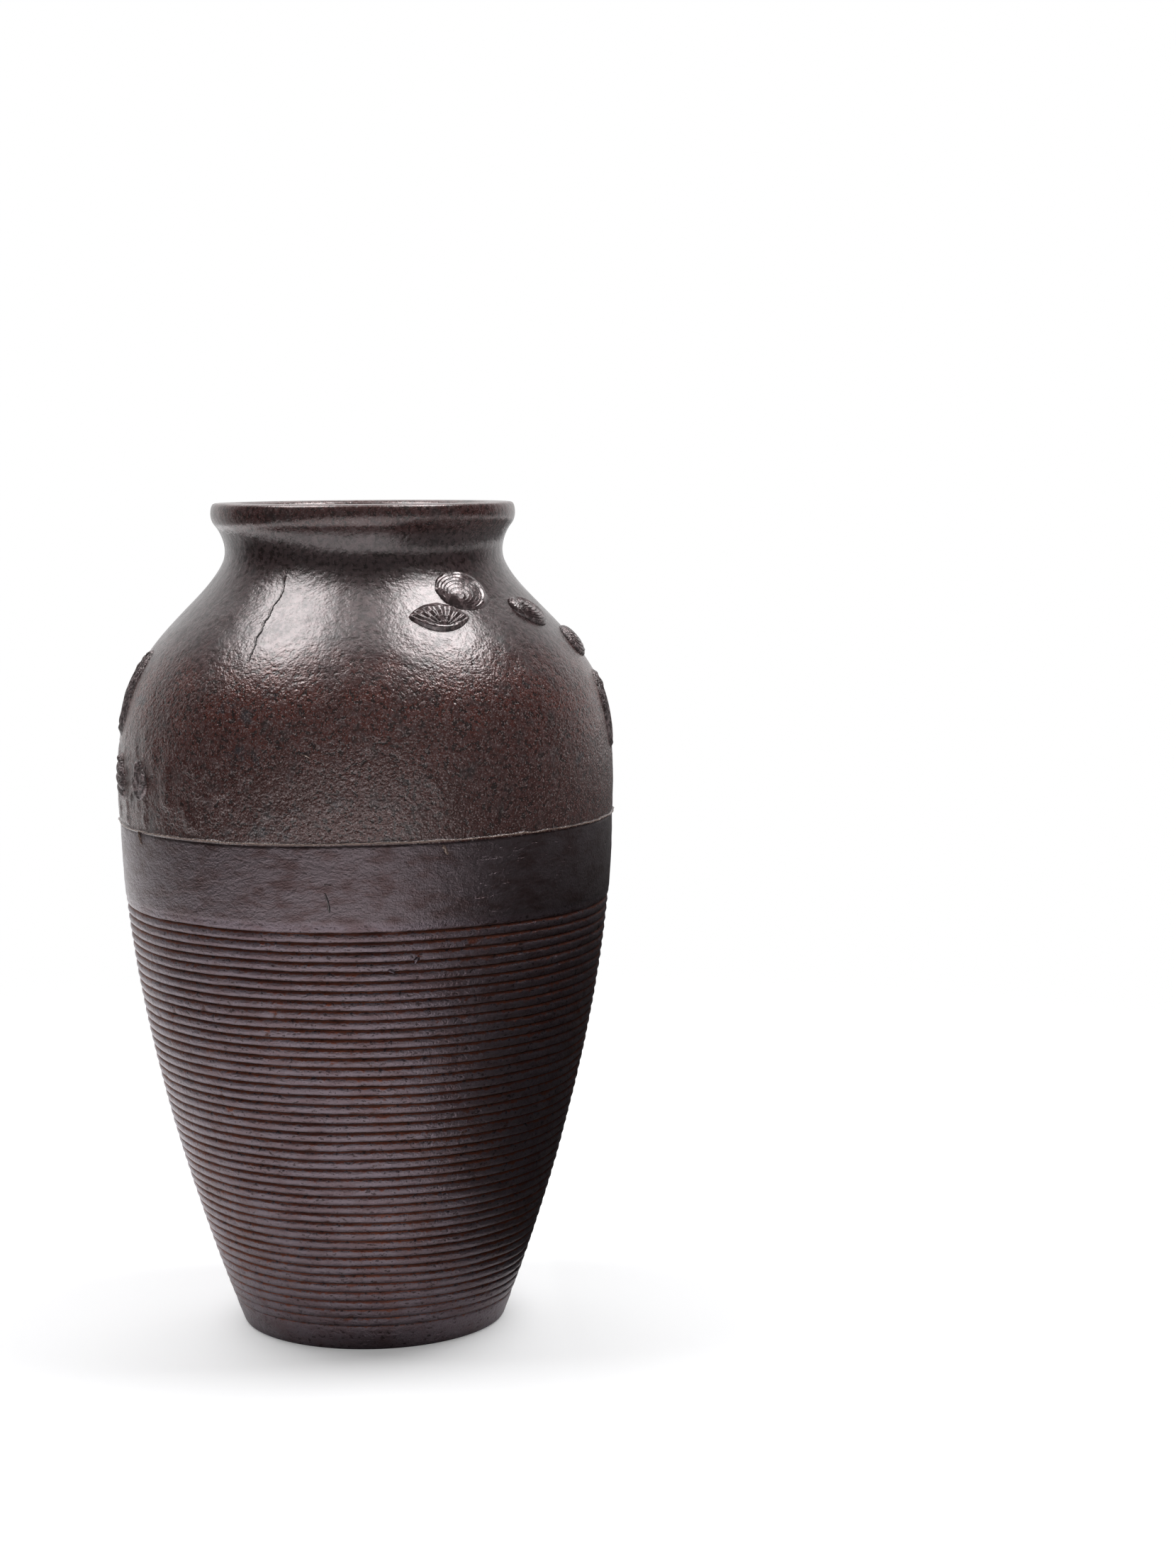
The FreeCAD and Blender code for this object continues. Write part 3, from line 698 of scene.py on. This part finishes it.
def clam_edge(angle):
    """Rounded, and drawn out a little at the lower right."""
    drawn = np.exp(-((np.mod(angle + 0.45 + math.pi, 2 * math.pi) - math.pi) / 0.4) ** 2)
    reach = 0.97 + 0.08 * drawn + 0.012 * np.sin(11 * angle)
    return reach, reach


def clam_height(t, x, y):
    """Domed valve with rings round a beak low on its left, close together at the frilled margin."""
    beak_x, beak_y = CLAM_BEAK
    share = growth(x, y, beak_x, beak_y, 9.5, 7.9)
    dome = 2.2 * domed(share, 1.7, 0.55) * domed(t, 3.5, 0.7)
    frill = 0.16 * np.sin(np.arctan2(y - beak_y, x - beak_x) * 11 + 5 * share) * held(share - 0.45)
    ring_lines = (0.12 + 0.34 * share ** 2) * rests(share ** 1.2 + 0.08 * frill, 8)
    fold = 0.45 * np.exp(-((share - 0.8) / 0.09) ** 2) * held(x / 5)
    return np.maximum(dome + (ring_lines + frill + fold) * towards_rim(t, 12, 0.3), 0)


relief("clam_shell", "shell_clam_front", azimuth=36.2, level=224.6, length=15.0, breadth=18.0,
       rise=clam_height, turned=2.0, edge=clam_edge)

FAN_HINGE = -4.6


def fan_edge(angle):
    """Two arcs that meet in a point at each end, like an almond."""
    return 1.0, np.abs(np.sin(angle)) ** 0.75 * np.where(np.sin(angle) > 0, 1.0, 0.96)


def fan_height(t, x, y):
    """Ribs that spread from the hinge at the lower middle, crossed by arcs, over a smooth lower lip."""
    from_hinge = np.hypot(x * 0.52, y - FAN_HINGE)
    spread = np.arctan2(x * 0.52, y - FAN_HINGE)
    body = 1.7 * domed(t, 2.2, 0.6)
    ribs = 0.2 * np.cos(spread * 27) * held(from_hinge / 2.5)
    arcs = 0.3 * rests(from_hinge, 0.5, 1.5)
    upper_part = held((y + 4.1 - 0.05 * x * x) / 0.5)
    lip = 0.35 * np.exp(-((y + 4.4 - 0.052 * x * x) / 0.45) ** 2)
    return np.maximum(body + (ribs + arcs) * upper_part * towards_rim(t, 8, 0.3) + lip * (t < 0.97), 0)


relief("fan_shell", "shell_scallop_front", azimuth=23.3, level=217.7, length=11.0, breadth=19.0,
       rise=fan_height, turned=-3.0, edge=fan_edge)


def mussel_height(t, x, y):
    """Narrow valve, arched across, with rings round a beak at its upper left end."""
    share = growth(x, y, 0.6, 5.2, 5.1, 7.9)
    dome = 2.1 * domed(t, 2.3, 0.55)
    return np.maximum(dome + 0.34 * rests(share ** 1.2, 9) * towards_rim(t, 8, 0.25), 0)


relief("mussel_shell", "shell_mussel_front", azimuth=62.3, level=217.9, length=15.5, breadth=10.0,
       rise=mussel_height, turned=58.0)


def round_height(t, x, y):
    """Low round valve with a few broad rings round a beak near its top."""
    share = growth(x, y, -1.0, 3.4, 6.4, 5.9)
    dome = 1.8 * domed(t, 2.4, 0.55)
    return np.maximum(dome + 0.26 * rests(share ** 1.3, 6) * towards_rim(t, 8, 0.25), 0)


relief("round_shell", "shell_round_right", azimuth=81.0, level=208.3, length=11.5, breadth=12.5,
       rise=round_height, finish=dull_iron)


def long_height(t, x, y):
    """Long ridged valve with a thin raised lip down one side and a folded knob at its upper end."""
    dome = 0.85 * domed(t, 2.6, 0.5)
    folds = 0.24 * np.cos(x * 3.6 + 0.2 * y + 0.5 * np.sin(y * 0.8)) * towards_rim(t, 5)
    folded_end = 0.45 * knob(x, y, -0.8, 7.5, 1.5, 1.7)
    pit = -0.5 * knob(x, y, -0.4, 4.6, 1.3, 1.2)
    lip = 0.4 * np.exp(-((t - 0.87) / 0.06) ** 2) * held(0.5 - x)
    return np.clip(dome + folds + folded_end + pit + lip, 0, 1.4)


relief("long_shell_right", "shell_long_right", azimuth=81.2, level=188.0, length=25.0, breadth=13.0,
       rise=long_height, turned=-6.0, finish=dull_iron)
relief("long_shell_left", "shell_long_left", azimuth=-80.0, level=195.0, length=28.0, breadth=11.0,
       rise=long_height, turned=-6.0, finish=dull_iron)


def whelk_edge(angle):
    """Broad low down and narrow at the tip."""
    reach = 1 - 0.16 * np.sin(angle) - 0.08 * np.sin(3 * angle)
    return reach, reach


def whelk_height(t, x, y):
    """Whorls that lie aslant one above another, each smaller than the last, with a knob at the tip."""
    body = 1.5 * domed(t, 2.0, 0.6)
    aslant = y + 0.5 * x
    whorls = 0.6 * np.abs(np.sin(aslant * 0.9 + 0.4 * np.sin(x))) ** 0.8 - 0.25
    tip = 0.4 * knob(x, y, 0.0, 5.2, 1.3, 1.3)
    return np.clip(body + (whorls + tip) * towards_rim(t, 5), 0, 1.8)


relief("whelk_shell", "shell_whelk_left", azimuth=-75.0, level=170.8, length=14.5, breadth=7.5,
       rise=whelk_height, turned=12.0, edge=whelk_edge, finish=dull_iron)


def small_fan_height(t, x, y):
    """Ribs that spread upwards from a hinge, gathered in two folded lobes."""
    spread = np.arctan2(x, y + 6.4)
    body = 1.2 * domed(t, 2.2, 0.6)
    ribs = 0.3 * np.cos(spread * 12 + 0.5 * np.sin(y)) * towards_rim(t, 5)
    cleft = -0.5 * np.exp(-((x - 0.4 - 0.2 * y) / 0.5) ** 2)
    upper_lobe = 0.4 * knob(x, y, -0.8, 4.6, 1.2, 1.2)
    return np.clip(body + ribs + (cleft + upper_lobe) * towards_rim(t, 4), 0, 1.65)


relief("small_fan_shell", "shell_fan_left", azimuth=-62.3, level=171.2, length=12.0, breadth=9.0,
       rise=small_fan_height, turned=9.0, edge=whelk_edge, finish=dull_iron)


# Marks that the casting left on the wall: a long crack that runs down the left shoulder, a shorter one below
# the lip, a chip of flash on the rim, a lug and drips of metal at the seam, and small warts on the ribs.

RIDGE_SECTION = ((-1.3, -0.25), (-0.55, 0.6), (0.0, 1.0), (0.45, 0.55), (1.3, -0.25), (0.0, -0.8))
RIDGE_STEP = 0.35


def wall_ridge(name, path, half_width, rise, seed, shaded_side=0.0, finish=relief_iron):
    """A thin uneven ridge along a path of azimuths and levels.

    Its one side may carry painted shade, as if it lay in a crack.
    """
    path = spaced(path, RIDGE_STEP)
    wander = np.random.default_rng(seed)
    count = len(path)
    taper = np.sin(np.linspace(0.12, math.pi - 0.12, count)) ** 0.5
    width = half_width * taper * wander.uniform(0.65, 1.3, count)
    lift = rise * taper * wander.uniform(0.5, 1.15, count)
    sway = wander.uniform(-0.4, 0.4, count) * half_width
    rings, crack_shade = [], []
    for across, up in RIDGE_SECTION:
        rings.append([on_wall(azimuth, level, across * half + shift, 0.0, up * high)
                      for (azimuth, level), half, high, shift in zip(path, width, lift, sway)])
        # Painted shade down the ridge's one side.
        crack_shade.append([shaded_side if across > 0.2 else 0.0] * count)
    rings = np.array(rings).transpose(1, 0, 2)
    crack_shade = np.array(crack_shade).T
    marks = {"recess_shade": crack_shade, "worn": 0.8 * (1 - crack_shade)}
    piece = mesh_from_rings(name, rings, closed=False, marks=marks)
    close_ends(piece, len(RIDGE_SECTION))
    piece.data.materials.append(finish)
    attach(piece, "root")


CRACK = [(-30.9, 231.4), (-30.8, 228.2), (-29.8, 225.6), (-29.9, 223.2), (-31.1, 220.9), (-30.7, 218.4),
         (-31.5, 216.5), (-30.7, 214.2), (-31.6, 212.3), (-30.8, 210.7), (-30.9, 208.8), (-30.6, 206.4)]
NECK_CRACK = [(31.8, 242.0), (33.2, 238.0), (33.5, 235.3), (33.1, 232.7), (33.8, 230.2)]
CRACK_FORK = [(-32.4, 231.4), (-31.0, 229.2), (-30.7, 227.0)]
LUG = [(-14.6, 181.4), (-13.3, 181.0), (-12.2, 180.1)]
LEFT_DRIP = [(-63.4, 156.0), (-63.0, 153.9), (-62.2, 151.9)]
RIGHT_DRIP = [(16.4, 155.4), (17.2, 152.4)]
SCRATCH = [(-9.6, 142.4), (-8.9, 139.4), (-8.7, 136.8)]
DENT = [(-9.6, 145.0), (-8.2, 144.5)]
BEAD = [(-42.8, 134.7), (-42.0, 134.9)]
WART = [(10.0, 121.6), (10.9, 123.4)]
SCAR = [(4.2, 120.0), (5.4, 119.0)]

wall_ridge("shoulder_crack", CRACK, half_width=0.42, rise=0.34, seed=51, shaded_side=1.0)
wall_ridge("shoulder_crack_fork", CRACK_FORK, half_width=0.34, rise=0.5, seed=52)
wall_ridge("neck_crack", NECK_CRACK, half_width=0.34, rise=0.3, seed=53, shaded_side=1.0)
wall_ridge("wall_lug", LUG, half_width=0.55, rise=0.7, seed=54, finish=fin_iron)
wall_ridge("left_drip", LEFT_DRIP, half_width=0.55, rise=0.5, seed=55, finish=fin_iron)
wall_ridge("right_drip", RIGHT_DRIP, half_width=0.5, rise=0.4, seed=56, finish=fin_iron)
wall_ridge("band_scratch", SCRATCH, half_width=0.3, rise=0.22, seed=57, shaded_side=1.0)
wall_ridge("band_dent", DENT, half_width=0.4, rise=0.34, seed=58, shaded_side=1.0)
wall_ridge("rib_bead", BEAD, half_width=0.55, rise=0.6, seed=59, finish=flank_iron)
wall_ridge("rib_wart", WART, half_width=0.55, rise=0.5, seed=60, finish=flank_iron)
wall_ridge("rib_scar", SCAR, half_width=0.6, rise=0.45, seed=61, finish=flank_iron)

FLASH_ENDS = (42.0, 55.0)
FLASH_RADIUS = 43.6
FLASH_SECTION = ((-0.9, -0.9), (-0.5, 0.0), (0.0, 0.0), (0.5, -0.1), (0.9, -1.1))


def rim_flash():
    """A low sliver of metal on the lip's crown, right of the middle."""
    count = 40
    azimuths = np.radians(np.linspace(*FLASH_ENDS, count))
    wander = np.random.default_rng(62)
    taper = np.sin(np.linspace(0.1, math.pi - 0.1, count)) ** 0.5
    rows = []
    for out, up in FLASH_SECTION:
        height = HEIGHT - 0.02 + up * 0.4 * wander.uniform(0.7, 1.0, count)
        rows.append(around(azimuths, FLASH_RADIUS + out * taper, height))
    piece = mesh_from_rings("rim_flash", np.array(rows).transpose(1, 0, 2), closed=False)
    close_ends(piece, len(FLASH_SECTION))
    piece.data.materials.append(relief_iron)
    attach(piece, "root")


rim_flash()


# The base: a disc set a little way up inside the foot's ring, dull grey, specked brown and finely cracked,
# with the scars of two vents that were snapped off after the pour.

PLATE_RADIUS = 32.4
PLATE_LEVEL = 2.0
PLATE_TOP = 7.0
PLUG_RADIUS = 10.6
VENT_RADIUS = 5.0
VENT_PLACE = (13.5, 12.5)
STEPS_ROUND_BASE = 256
BASE_BROWN = (0.1, 0.062, 0.045, 1)
SPECK_RUST = (0.16, 0.075, 0.035, 1)
CRACK_BLACK = (0.015, 0.011, 0.01, 1)


def base_plate():
    """The disc with its uneven underside, turned up at the rim and round the hole for the plug."""
    radii = np.concatenate([[PLUG_RADIUS + 0.45], np.linspace(PLUG_RADIUS + 1.1, PLATE_RADIUS - 1.2, 56),
                            [PLATE_RADIUS - 0.7, PLATE_RADIUS - 0.3]])
    under = [(PLUG_RADIUS - 0.1, PLATE_TOP - 0.4), (PLUG_RADIUS + 0.1, PLATE_LEVEL + 1.2)]
    under += [(radius, PLATE_LEVEL) for radius in radii]
    outline = np.array(under + [(PLATE_RADIUS - 0.3, PLATE_TOP), (PLUG_RADIUS - 0.1, PLATE_TOP)])
    rings = turn(outline, STEPS_ROUND_BASE)
    radius = outline[:, :1]
    under_face = np.abs(rings[:, :, 2] - PLATE_LEVEL) < 0.01
    drop = 0.18 * lumps(rings, 9.0, 31) + 0.09 * lumps(rings, 2.2, 32)
    for side in (-1, 1):
        apart = np.hypot(rings[:, :, 0] - side * VENT_PLACE[0], rings[:, :, 1] - side * VENT_PLACE[1])
        scar = held(1 - apart / VENT_RADIUS)
        drop -= scar ** 0.6 * (0.42 + 0.3 * lumps(rings, 1.6, 33 + side))
    rim = held(radius - PLATE_RADIUS + 1.3) + held((PLUG_RADIUS + 1.2 - radius) / 0.8)
    rings[:, :, 2] += np.where(under_face, drop * (1 - rim) + 0.5 * rim, 0)
    return mesh_from_rings("base_plate_iron", rings[::-1])


plate = base_plate()


def base_iron(name):
    """Dull grey iron with brown specks, darker cracks and rust that has crept from the edges."""
    material, tree, surface = shader(name)
    place = node(tree, "ShaderNodeTexCoord").outputs["Object"]
    clouds = noise(tree, place, 14.0, 4.0, 0.65)
    specks = noise(tree, place, 1.1, 3.0, 0.7)
    grit = noise(tree, place, 0.4, 3.0, 0.6)
    colour = blend(tree, band(tree, clouds, 0.35, 0.7), BARE_GREY, BASE_BROWN)
    colour = blend(tree, band(tree, specks, 0.56, 0.68), colour, SPECK_RUST)
    inputs = {"Vector": place, "Scale": 260.0, "Detail": 5.0}
    sway = node(tree, "ShaderNodeTexNoise", inputs).outputs["Color"]
    sway = node(tree, "ShaderNodeVectorMath", {0: sway, "Scale": 7 * MM}, operation="SCALE").outputs[0]
    bent = node(tree, "ShaderNodeVectorMath", {0: place, 1: sway}, operation="ADD").outputs[0]
    cracks = node(tree, "ShaderNodeTexVoronoi", {"Vector": bent, "Scale": 75.0}, feature="DISTANCE_TO_EDGE")
    line = band(tree, cracks.outputs[0], 0.02, 0.0)
    line = times(tree, line, band(tree, noise(tree, place, 18.0), 0.56, 0.62))
    colour = blend(tree, line, colour, CRACK_BLACK)
    tree.links.new(colour, surface.inputs["Base Color"])
    surface.inputs["Roughness"].default_value = 0.58
    surface.inputs["Metallic"].default_value = 0.3
    dented = maths(tree, "SUBTRACT", specks, times(tree, line, 0.8))
    cracked = bump(tree, dented, 0.3, 0.8)
    tree.links.new(bump(tree, grit, 0.08, 0.5, cracked), surface.inputs["Normal"])
    return material


plate.data.materials.append(base_iron("iron_dull_base"))
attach(plate, "root")
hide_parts("base_plate")


# The plug that closes the middle of the base, where the sand core was held and shaken out.
# It was driven in rough, stands a little proud of its groove, and has rusted orange-brown and pitted.

PLUG_LEVEL = 1.15
PLUG_MIDDLE = 0.4
FLAT_SHARE = 0.72
NOTCH_AZIMUTH = 100
STEPS_ROUND_PLUG = 128
PLUG_BROWN = (0.075, 0.034, 0.018, 1)
PLUG_RUST = (0.23, 0.08, 0.026, 1)
PLUG_BLACK = (0.02, 0.013, 0.01, 1)


def plug_notch(radius, height, azimuths):
    """How far a chip at one side cuts into the plug's edge."""
    notch = np.exp(-((azimuths - math.radians(NOTCH_AZIMUTH)) / 0.22) ** 2)
    return -0.1 * radius * notch * held((radius - 7) / 3)


def gate_plug():
    """A flat underside that curves up to the plug's edge, with the lumps of rust on it."""
    flat = [(r, PLUG_LEVEL) for r in (PLUG_MIDDLE, *np.linspace(0.9, PLUG_RADIUS * FLAT_SHARE, 16))]
    curved = [(r, PLUG_LEVEL + 0.9 * ((r / PLUG_RADIUS - FLAT_SHARE) / (1 - FLAT_SHARE)) ** 2)
              for r in np.linspace(PLUG_RADIUS * 0.75, PLUG_RADIUS - 0.35, 8)]
    side = [(PLUG_RADIUS - 0.3, 3.0), (PLUG_RADIUS - 0.5, PLATE_TOP), (PLUG_MIDDLE, PLATE_TOP)]
    rings = turn(np.array(flat + curved + side), STEPS_ROUND_PLUG, plug_notch)
    rough = 0.3 * lumps(rings, 2.6, 41) + 0.2 * lumps(rings, 1.1, 42)
    rings[:, :, 2] += np.where(rings[:, :, 2] < 2.9, np.clip(rough, -0.1, 0.6), 0)
    piece = mesh_from_rings("rusty_plug", rings[::-1], closed=False)
    close_ends(piece, STEPS_ROUND_PLUG)
    return piece


plug = gate_plug()


def rusty_iron(name):
    """Rough rust in two browns, black in its pits."""
    material, tree, surface = shader(name)
    place = node(tree, "ShaderNodeTexCoord").outputs["Object"]
    clouds = noise(tree, place, 3.0, 5.0, 0.7)
    grit = noise(tree, place, 0.7, 4.0, 0.7)
    colour = blend(tree, band(tree, clouds, 0.35, 0.6), PLUG_BROWN, PLUG_RUST)
    colour = blend(tree, band(tree, grit, 0.58, 0.7), colour, PLUG_BLACK)
    tree.links.new(colour, surface.inputs["Base Color"])
    surface.inputs["Roughness"].default_value = 0.8
    lumpy = bump(tree, clouds, 0.5, 0.7)
    tree.links.new(bump(tree, grit, 0.25, 0.8, lumpy), surface.inputs["Normal"])
    return material


plug.data.materials.append(rusty_iron("iron_rust_plug"))
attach(plug, "root")
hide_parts("gate_plug")


# The floor: a pale table top that keeps the vase's shadow and fades into the white backdrop round it.
# The backdrop is white to the eye alone: the polished iron mirrors a dim room, lighter behind the vase.

FLOOR_LEVEL = -0.0002
FLOOR_CORNERS = ((-0.4, -1.6), (1.6, -1.6), (1.6, 1.6), (-0.4, 1.6))
FLOOR_GREY = (0.8, 0.8, 0.81, 1)
FLOOR_GLOW = 0.26
WHITE = (1, 1, 1, 1)

floor_mesh = bpy.data.meshes.new("floor")
floor_mesh.from_pydata([(x, y, FLOOR_LEVEL) for x, y in FLOOR_CORNERS], [], [(0, 1, 2, 3)])
floor = put("floor", floor_mesh)
floor_material, floor_tree, floor_surface = shader("pale_floor")
floor_surface.inputs["Base Color"].default_value = FLOOR_GREY
floor_surface.inputs["Roughness"].default_value = 0.7
place = node(floor_tree, "ShaderNodeTexCoord").outputs["Object"]
distance = node(floor_tree, "ShaderNodeVectorMath", {0: place}, operation="LENGTH").outputs["Value"]
ray = node(floor_tree, "ShaderNodeLightPath")
seen = ray.outputs["Is Camera Ray"]
# For reflections alone the floor glows, a painted light that fades to nothing at the foot as a painted shade
# round it.
clear_of_foot = times(floor_tree, band(floor_tree, distance, 0.045, 0.11), 0.58)
open_floor = maths(floor_tree, "MULTIPLY_ADD", band(floor_tree, distance, 0.15, 0.7), 0.25, clear_of_foot)
reflected = times(floor_tree, ray.outputs["Is Glossy Ray"], open_floor)
glow_strength = maths(floor_tree, "MAXIMUM", times(floor_tree, seen, FLOOR_GLOW), reflected)
white = node(floor_tree, "ShaderNodeEmission", {0: WHITE, 1: 1.0})
glow = node(floor_tree, "ShaderNodeEmission", {0: WHITE, 1: glow_strength})
near = node(floor_tree, "ShaderNodeAddShader", {0: floor_surface.outputs[0], 1: glow.outputs[0]})
share = times(floor_tree, seen, band(floor_tree, distance, 0.12, 0.6))
mixed = node(floor_tree, "ShaderNodeMixShader", {0: share, 1: near.outputs[0], 2: white.outputs[0]})
floor_tree.links.new(mixed.outputs[0], floor_tree.nodes["Material Output"].inputs[0])
floor_mesh.materials.append(floor_material)

world = bpy.data.worlds.new("studio")
bpy.context.scene.world = world
world.use_nodes = True
world_tree = world.node_tree
backdrop = world_tree.nodes["Background"]
towards = node(world_tree, "ShaderNodeTexCoord").outputs["Generated"]
depth = axis(world_tree, towards, 1)
ahead = maths(world_tree, "MULTIPLY_ADD", band(world_tree, depth, 0.0, -0.6), 0.09, 0.075)
lit = maths(world_tree, "MULTIPLY_ADD", band(world_tree, depth, 0.22, 0.85), 0.9, ahead)
ray = node(world_tree, "ShaderNodeLightPath")
seen = maths(world_tree, "MAXIMUM", ray.outputs["Is Camera Ray"], ray.outputs["Is Transmission Ray"])
backdrop.inputs[0].default_value = WHITE
world_tree.links.new(maths(world_tree, "MAXIMUM", seen, lit), backdrop.inputs[1])


# The lamps: two large softboxes high at the sides, a weak one overhead and a broad one high behind the vase.
# Each is a cloth-fronted box on a boom, turned towards the vase, and stands out of the picture.

VASE_MIDDLE = (0, 0, 0.2)
FLOOR_AHEAD = (0, -0.15, 0)


def softbox(name, width, height, power, place, target=VASE_MIDDLE):
    """A lamp with its sides in metres and its power in watts, turned towards its target."""
    lamp = bpy.data.lights.new(name, "AREA")
    lamp.shape = "RECTANGLE"
    lamp.size, lamp.size_y = width, height
    lamp.energy = power
    holder = put(name, lamp)
    holder.location = place
    holder.rotation_euler = (Vector(target) - Vector(place)).to_track_quat("-Z", "Y").to_euler()


softbox("softbox_high_left", width=0.6, height=0.55, power=10.0, place=(-0.53, 0.03, 1.3))
softbox("softbox_high_right", width=0.55, height=0.5, power=11.8, place=(0.53, 0.0, 1.35))
softbox("softbox_overhead", width=0.5, height=0.5, power=1.4, place=(0.0, -0.05, 1.4))
softbox("softbox_behind", width=1.7, height=0.7, power=4.0, place=(0.0, 1.0, 1.3), target=FLOOR_AHEAD)


# The black card: a dark block right of the vase that only its polish mirrors, a painted shade on that side.
# It casts no shadow and lights nothing, but for a dim painted glow along its front and its top edges.

CARD_PROFILE = [(0.058, 0.001), (0.3, 0.001), (0.3, 0.165), (0.1, 0.165), (0.088, 0.05), (0.06, 0.014)]
CARD_FRONT = -0.2
CARD_BACK = 0.4
SHADE_CARD_BLACK = (0.006, 0.005, 0.005, 1)

card_mesh = bpy.data.meshes.new("black_card")
card = put("black_card", card_mesh)
near_end = [(x, CARD_FRONT, z) for x, z in CARD_PROFILE]
far_end = [(x, CARD_BACK, z) for x, z in CARD_PROFILE]
sides = [(step, (step + 1) % 6, (step + 1) % 6 + 6, step + 6) for step in range(6)]
card_mesh.from_pydata(near_end + far_end, [], sides + [tuple(range(6))[::-1], tuple(range(6, 12))])
card_material, card_tree, card_surface = shader("painted_shade_card")
card_surface.inputs["Base Color"].default_value = SHADE_CARD_BLACK
card_surface.inputs["Roughness"].default_value = 0.9
place = node(card_tree, "ShaderNodeTexCoord").outputs["Object"]
front_edge = times(card_tree, band(card_tree, axis(card_tree, place, 1), -0.13, CARD_FRONT), 0.7)
upper_edge = times(card_tree, band(card_tree, axis(card_tree, place, 2), 0.11, 0.16), 0.16)
# A painted glow along the card's front and top edges.
card_surface.inputs["Emission Color"].default_value = WHITE
painted_edge_glow = maths(card_tree, "MAXIMUM", front_edge, upper_edge)
card_tree.links.new(painted_edge_glow, card_surface.inputs["Emission Strength"])
card_mesh.materials.append(card_material)
card.visible_camera = False
card.visible_diffuse = False
card.visible_shadow = False


# The camera: on a stand a good arm's length in front, a little above the lip, and tilted down at the vase.
# Its lens is long and its picture upright, so the sensor's long side is the picture's height.

CAMERA_PLACE = (0, -0.862, 0.263)
FOCAL_PIXELS = 4011
IMAGE_HEIGHT = 2212
PAN, PITCH, ROLL = math.radians(-4.465), math.radians(90 - 6.56), math.radians(-0.35)

camera_data = bpy.data.cameras.new("camera")
camera = put("camera", camera_data)
camera_data.sensor_width = 36.0
camera_data.lens = camera_data.sensor_width * FOCAL_PIXELS / IMAGE_HEIGHT
camera_data.clip_start = 0.01
camera.matrix_world = (
    Matrix.Translation(CAMERA_PLACE)
    @ Matrix.Rotation(PAN, 4, "Z") @ Matrix.Rotation(PITCH, 4, "X") @ Matrix.Rotation(ROLL, 4, "Z")
)
bpy.context.scene.camera = camera
bpy.context.scene.view_settings.view_transform = "Standard"
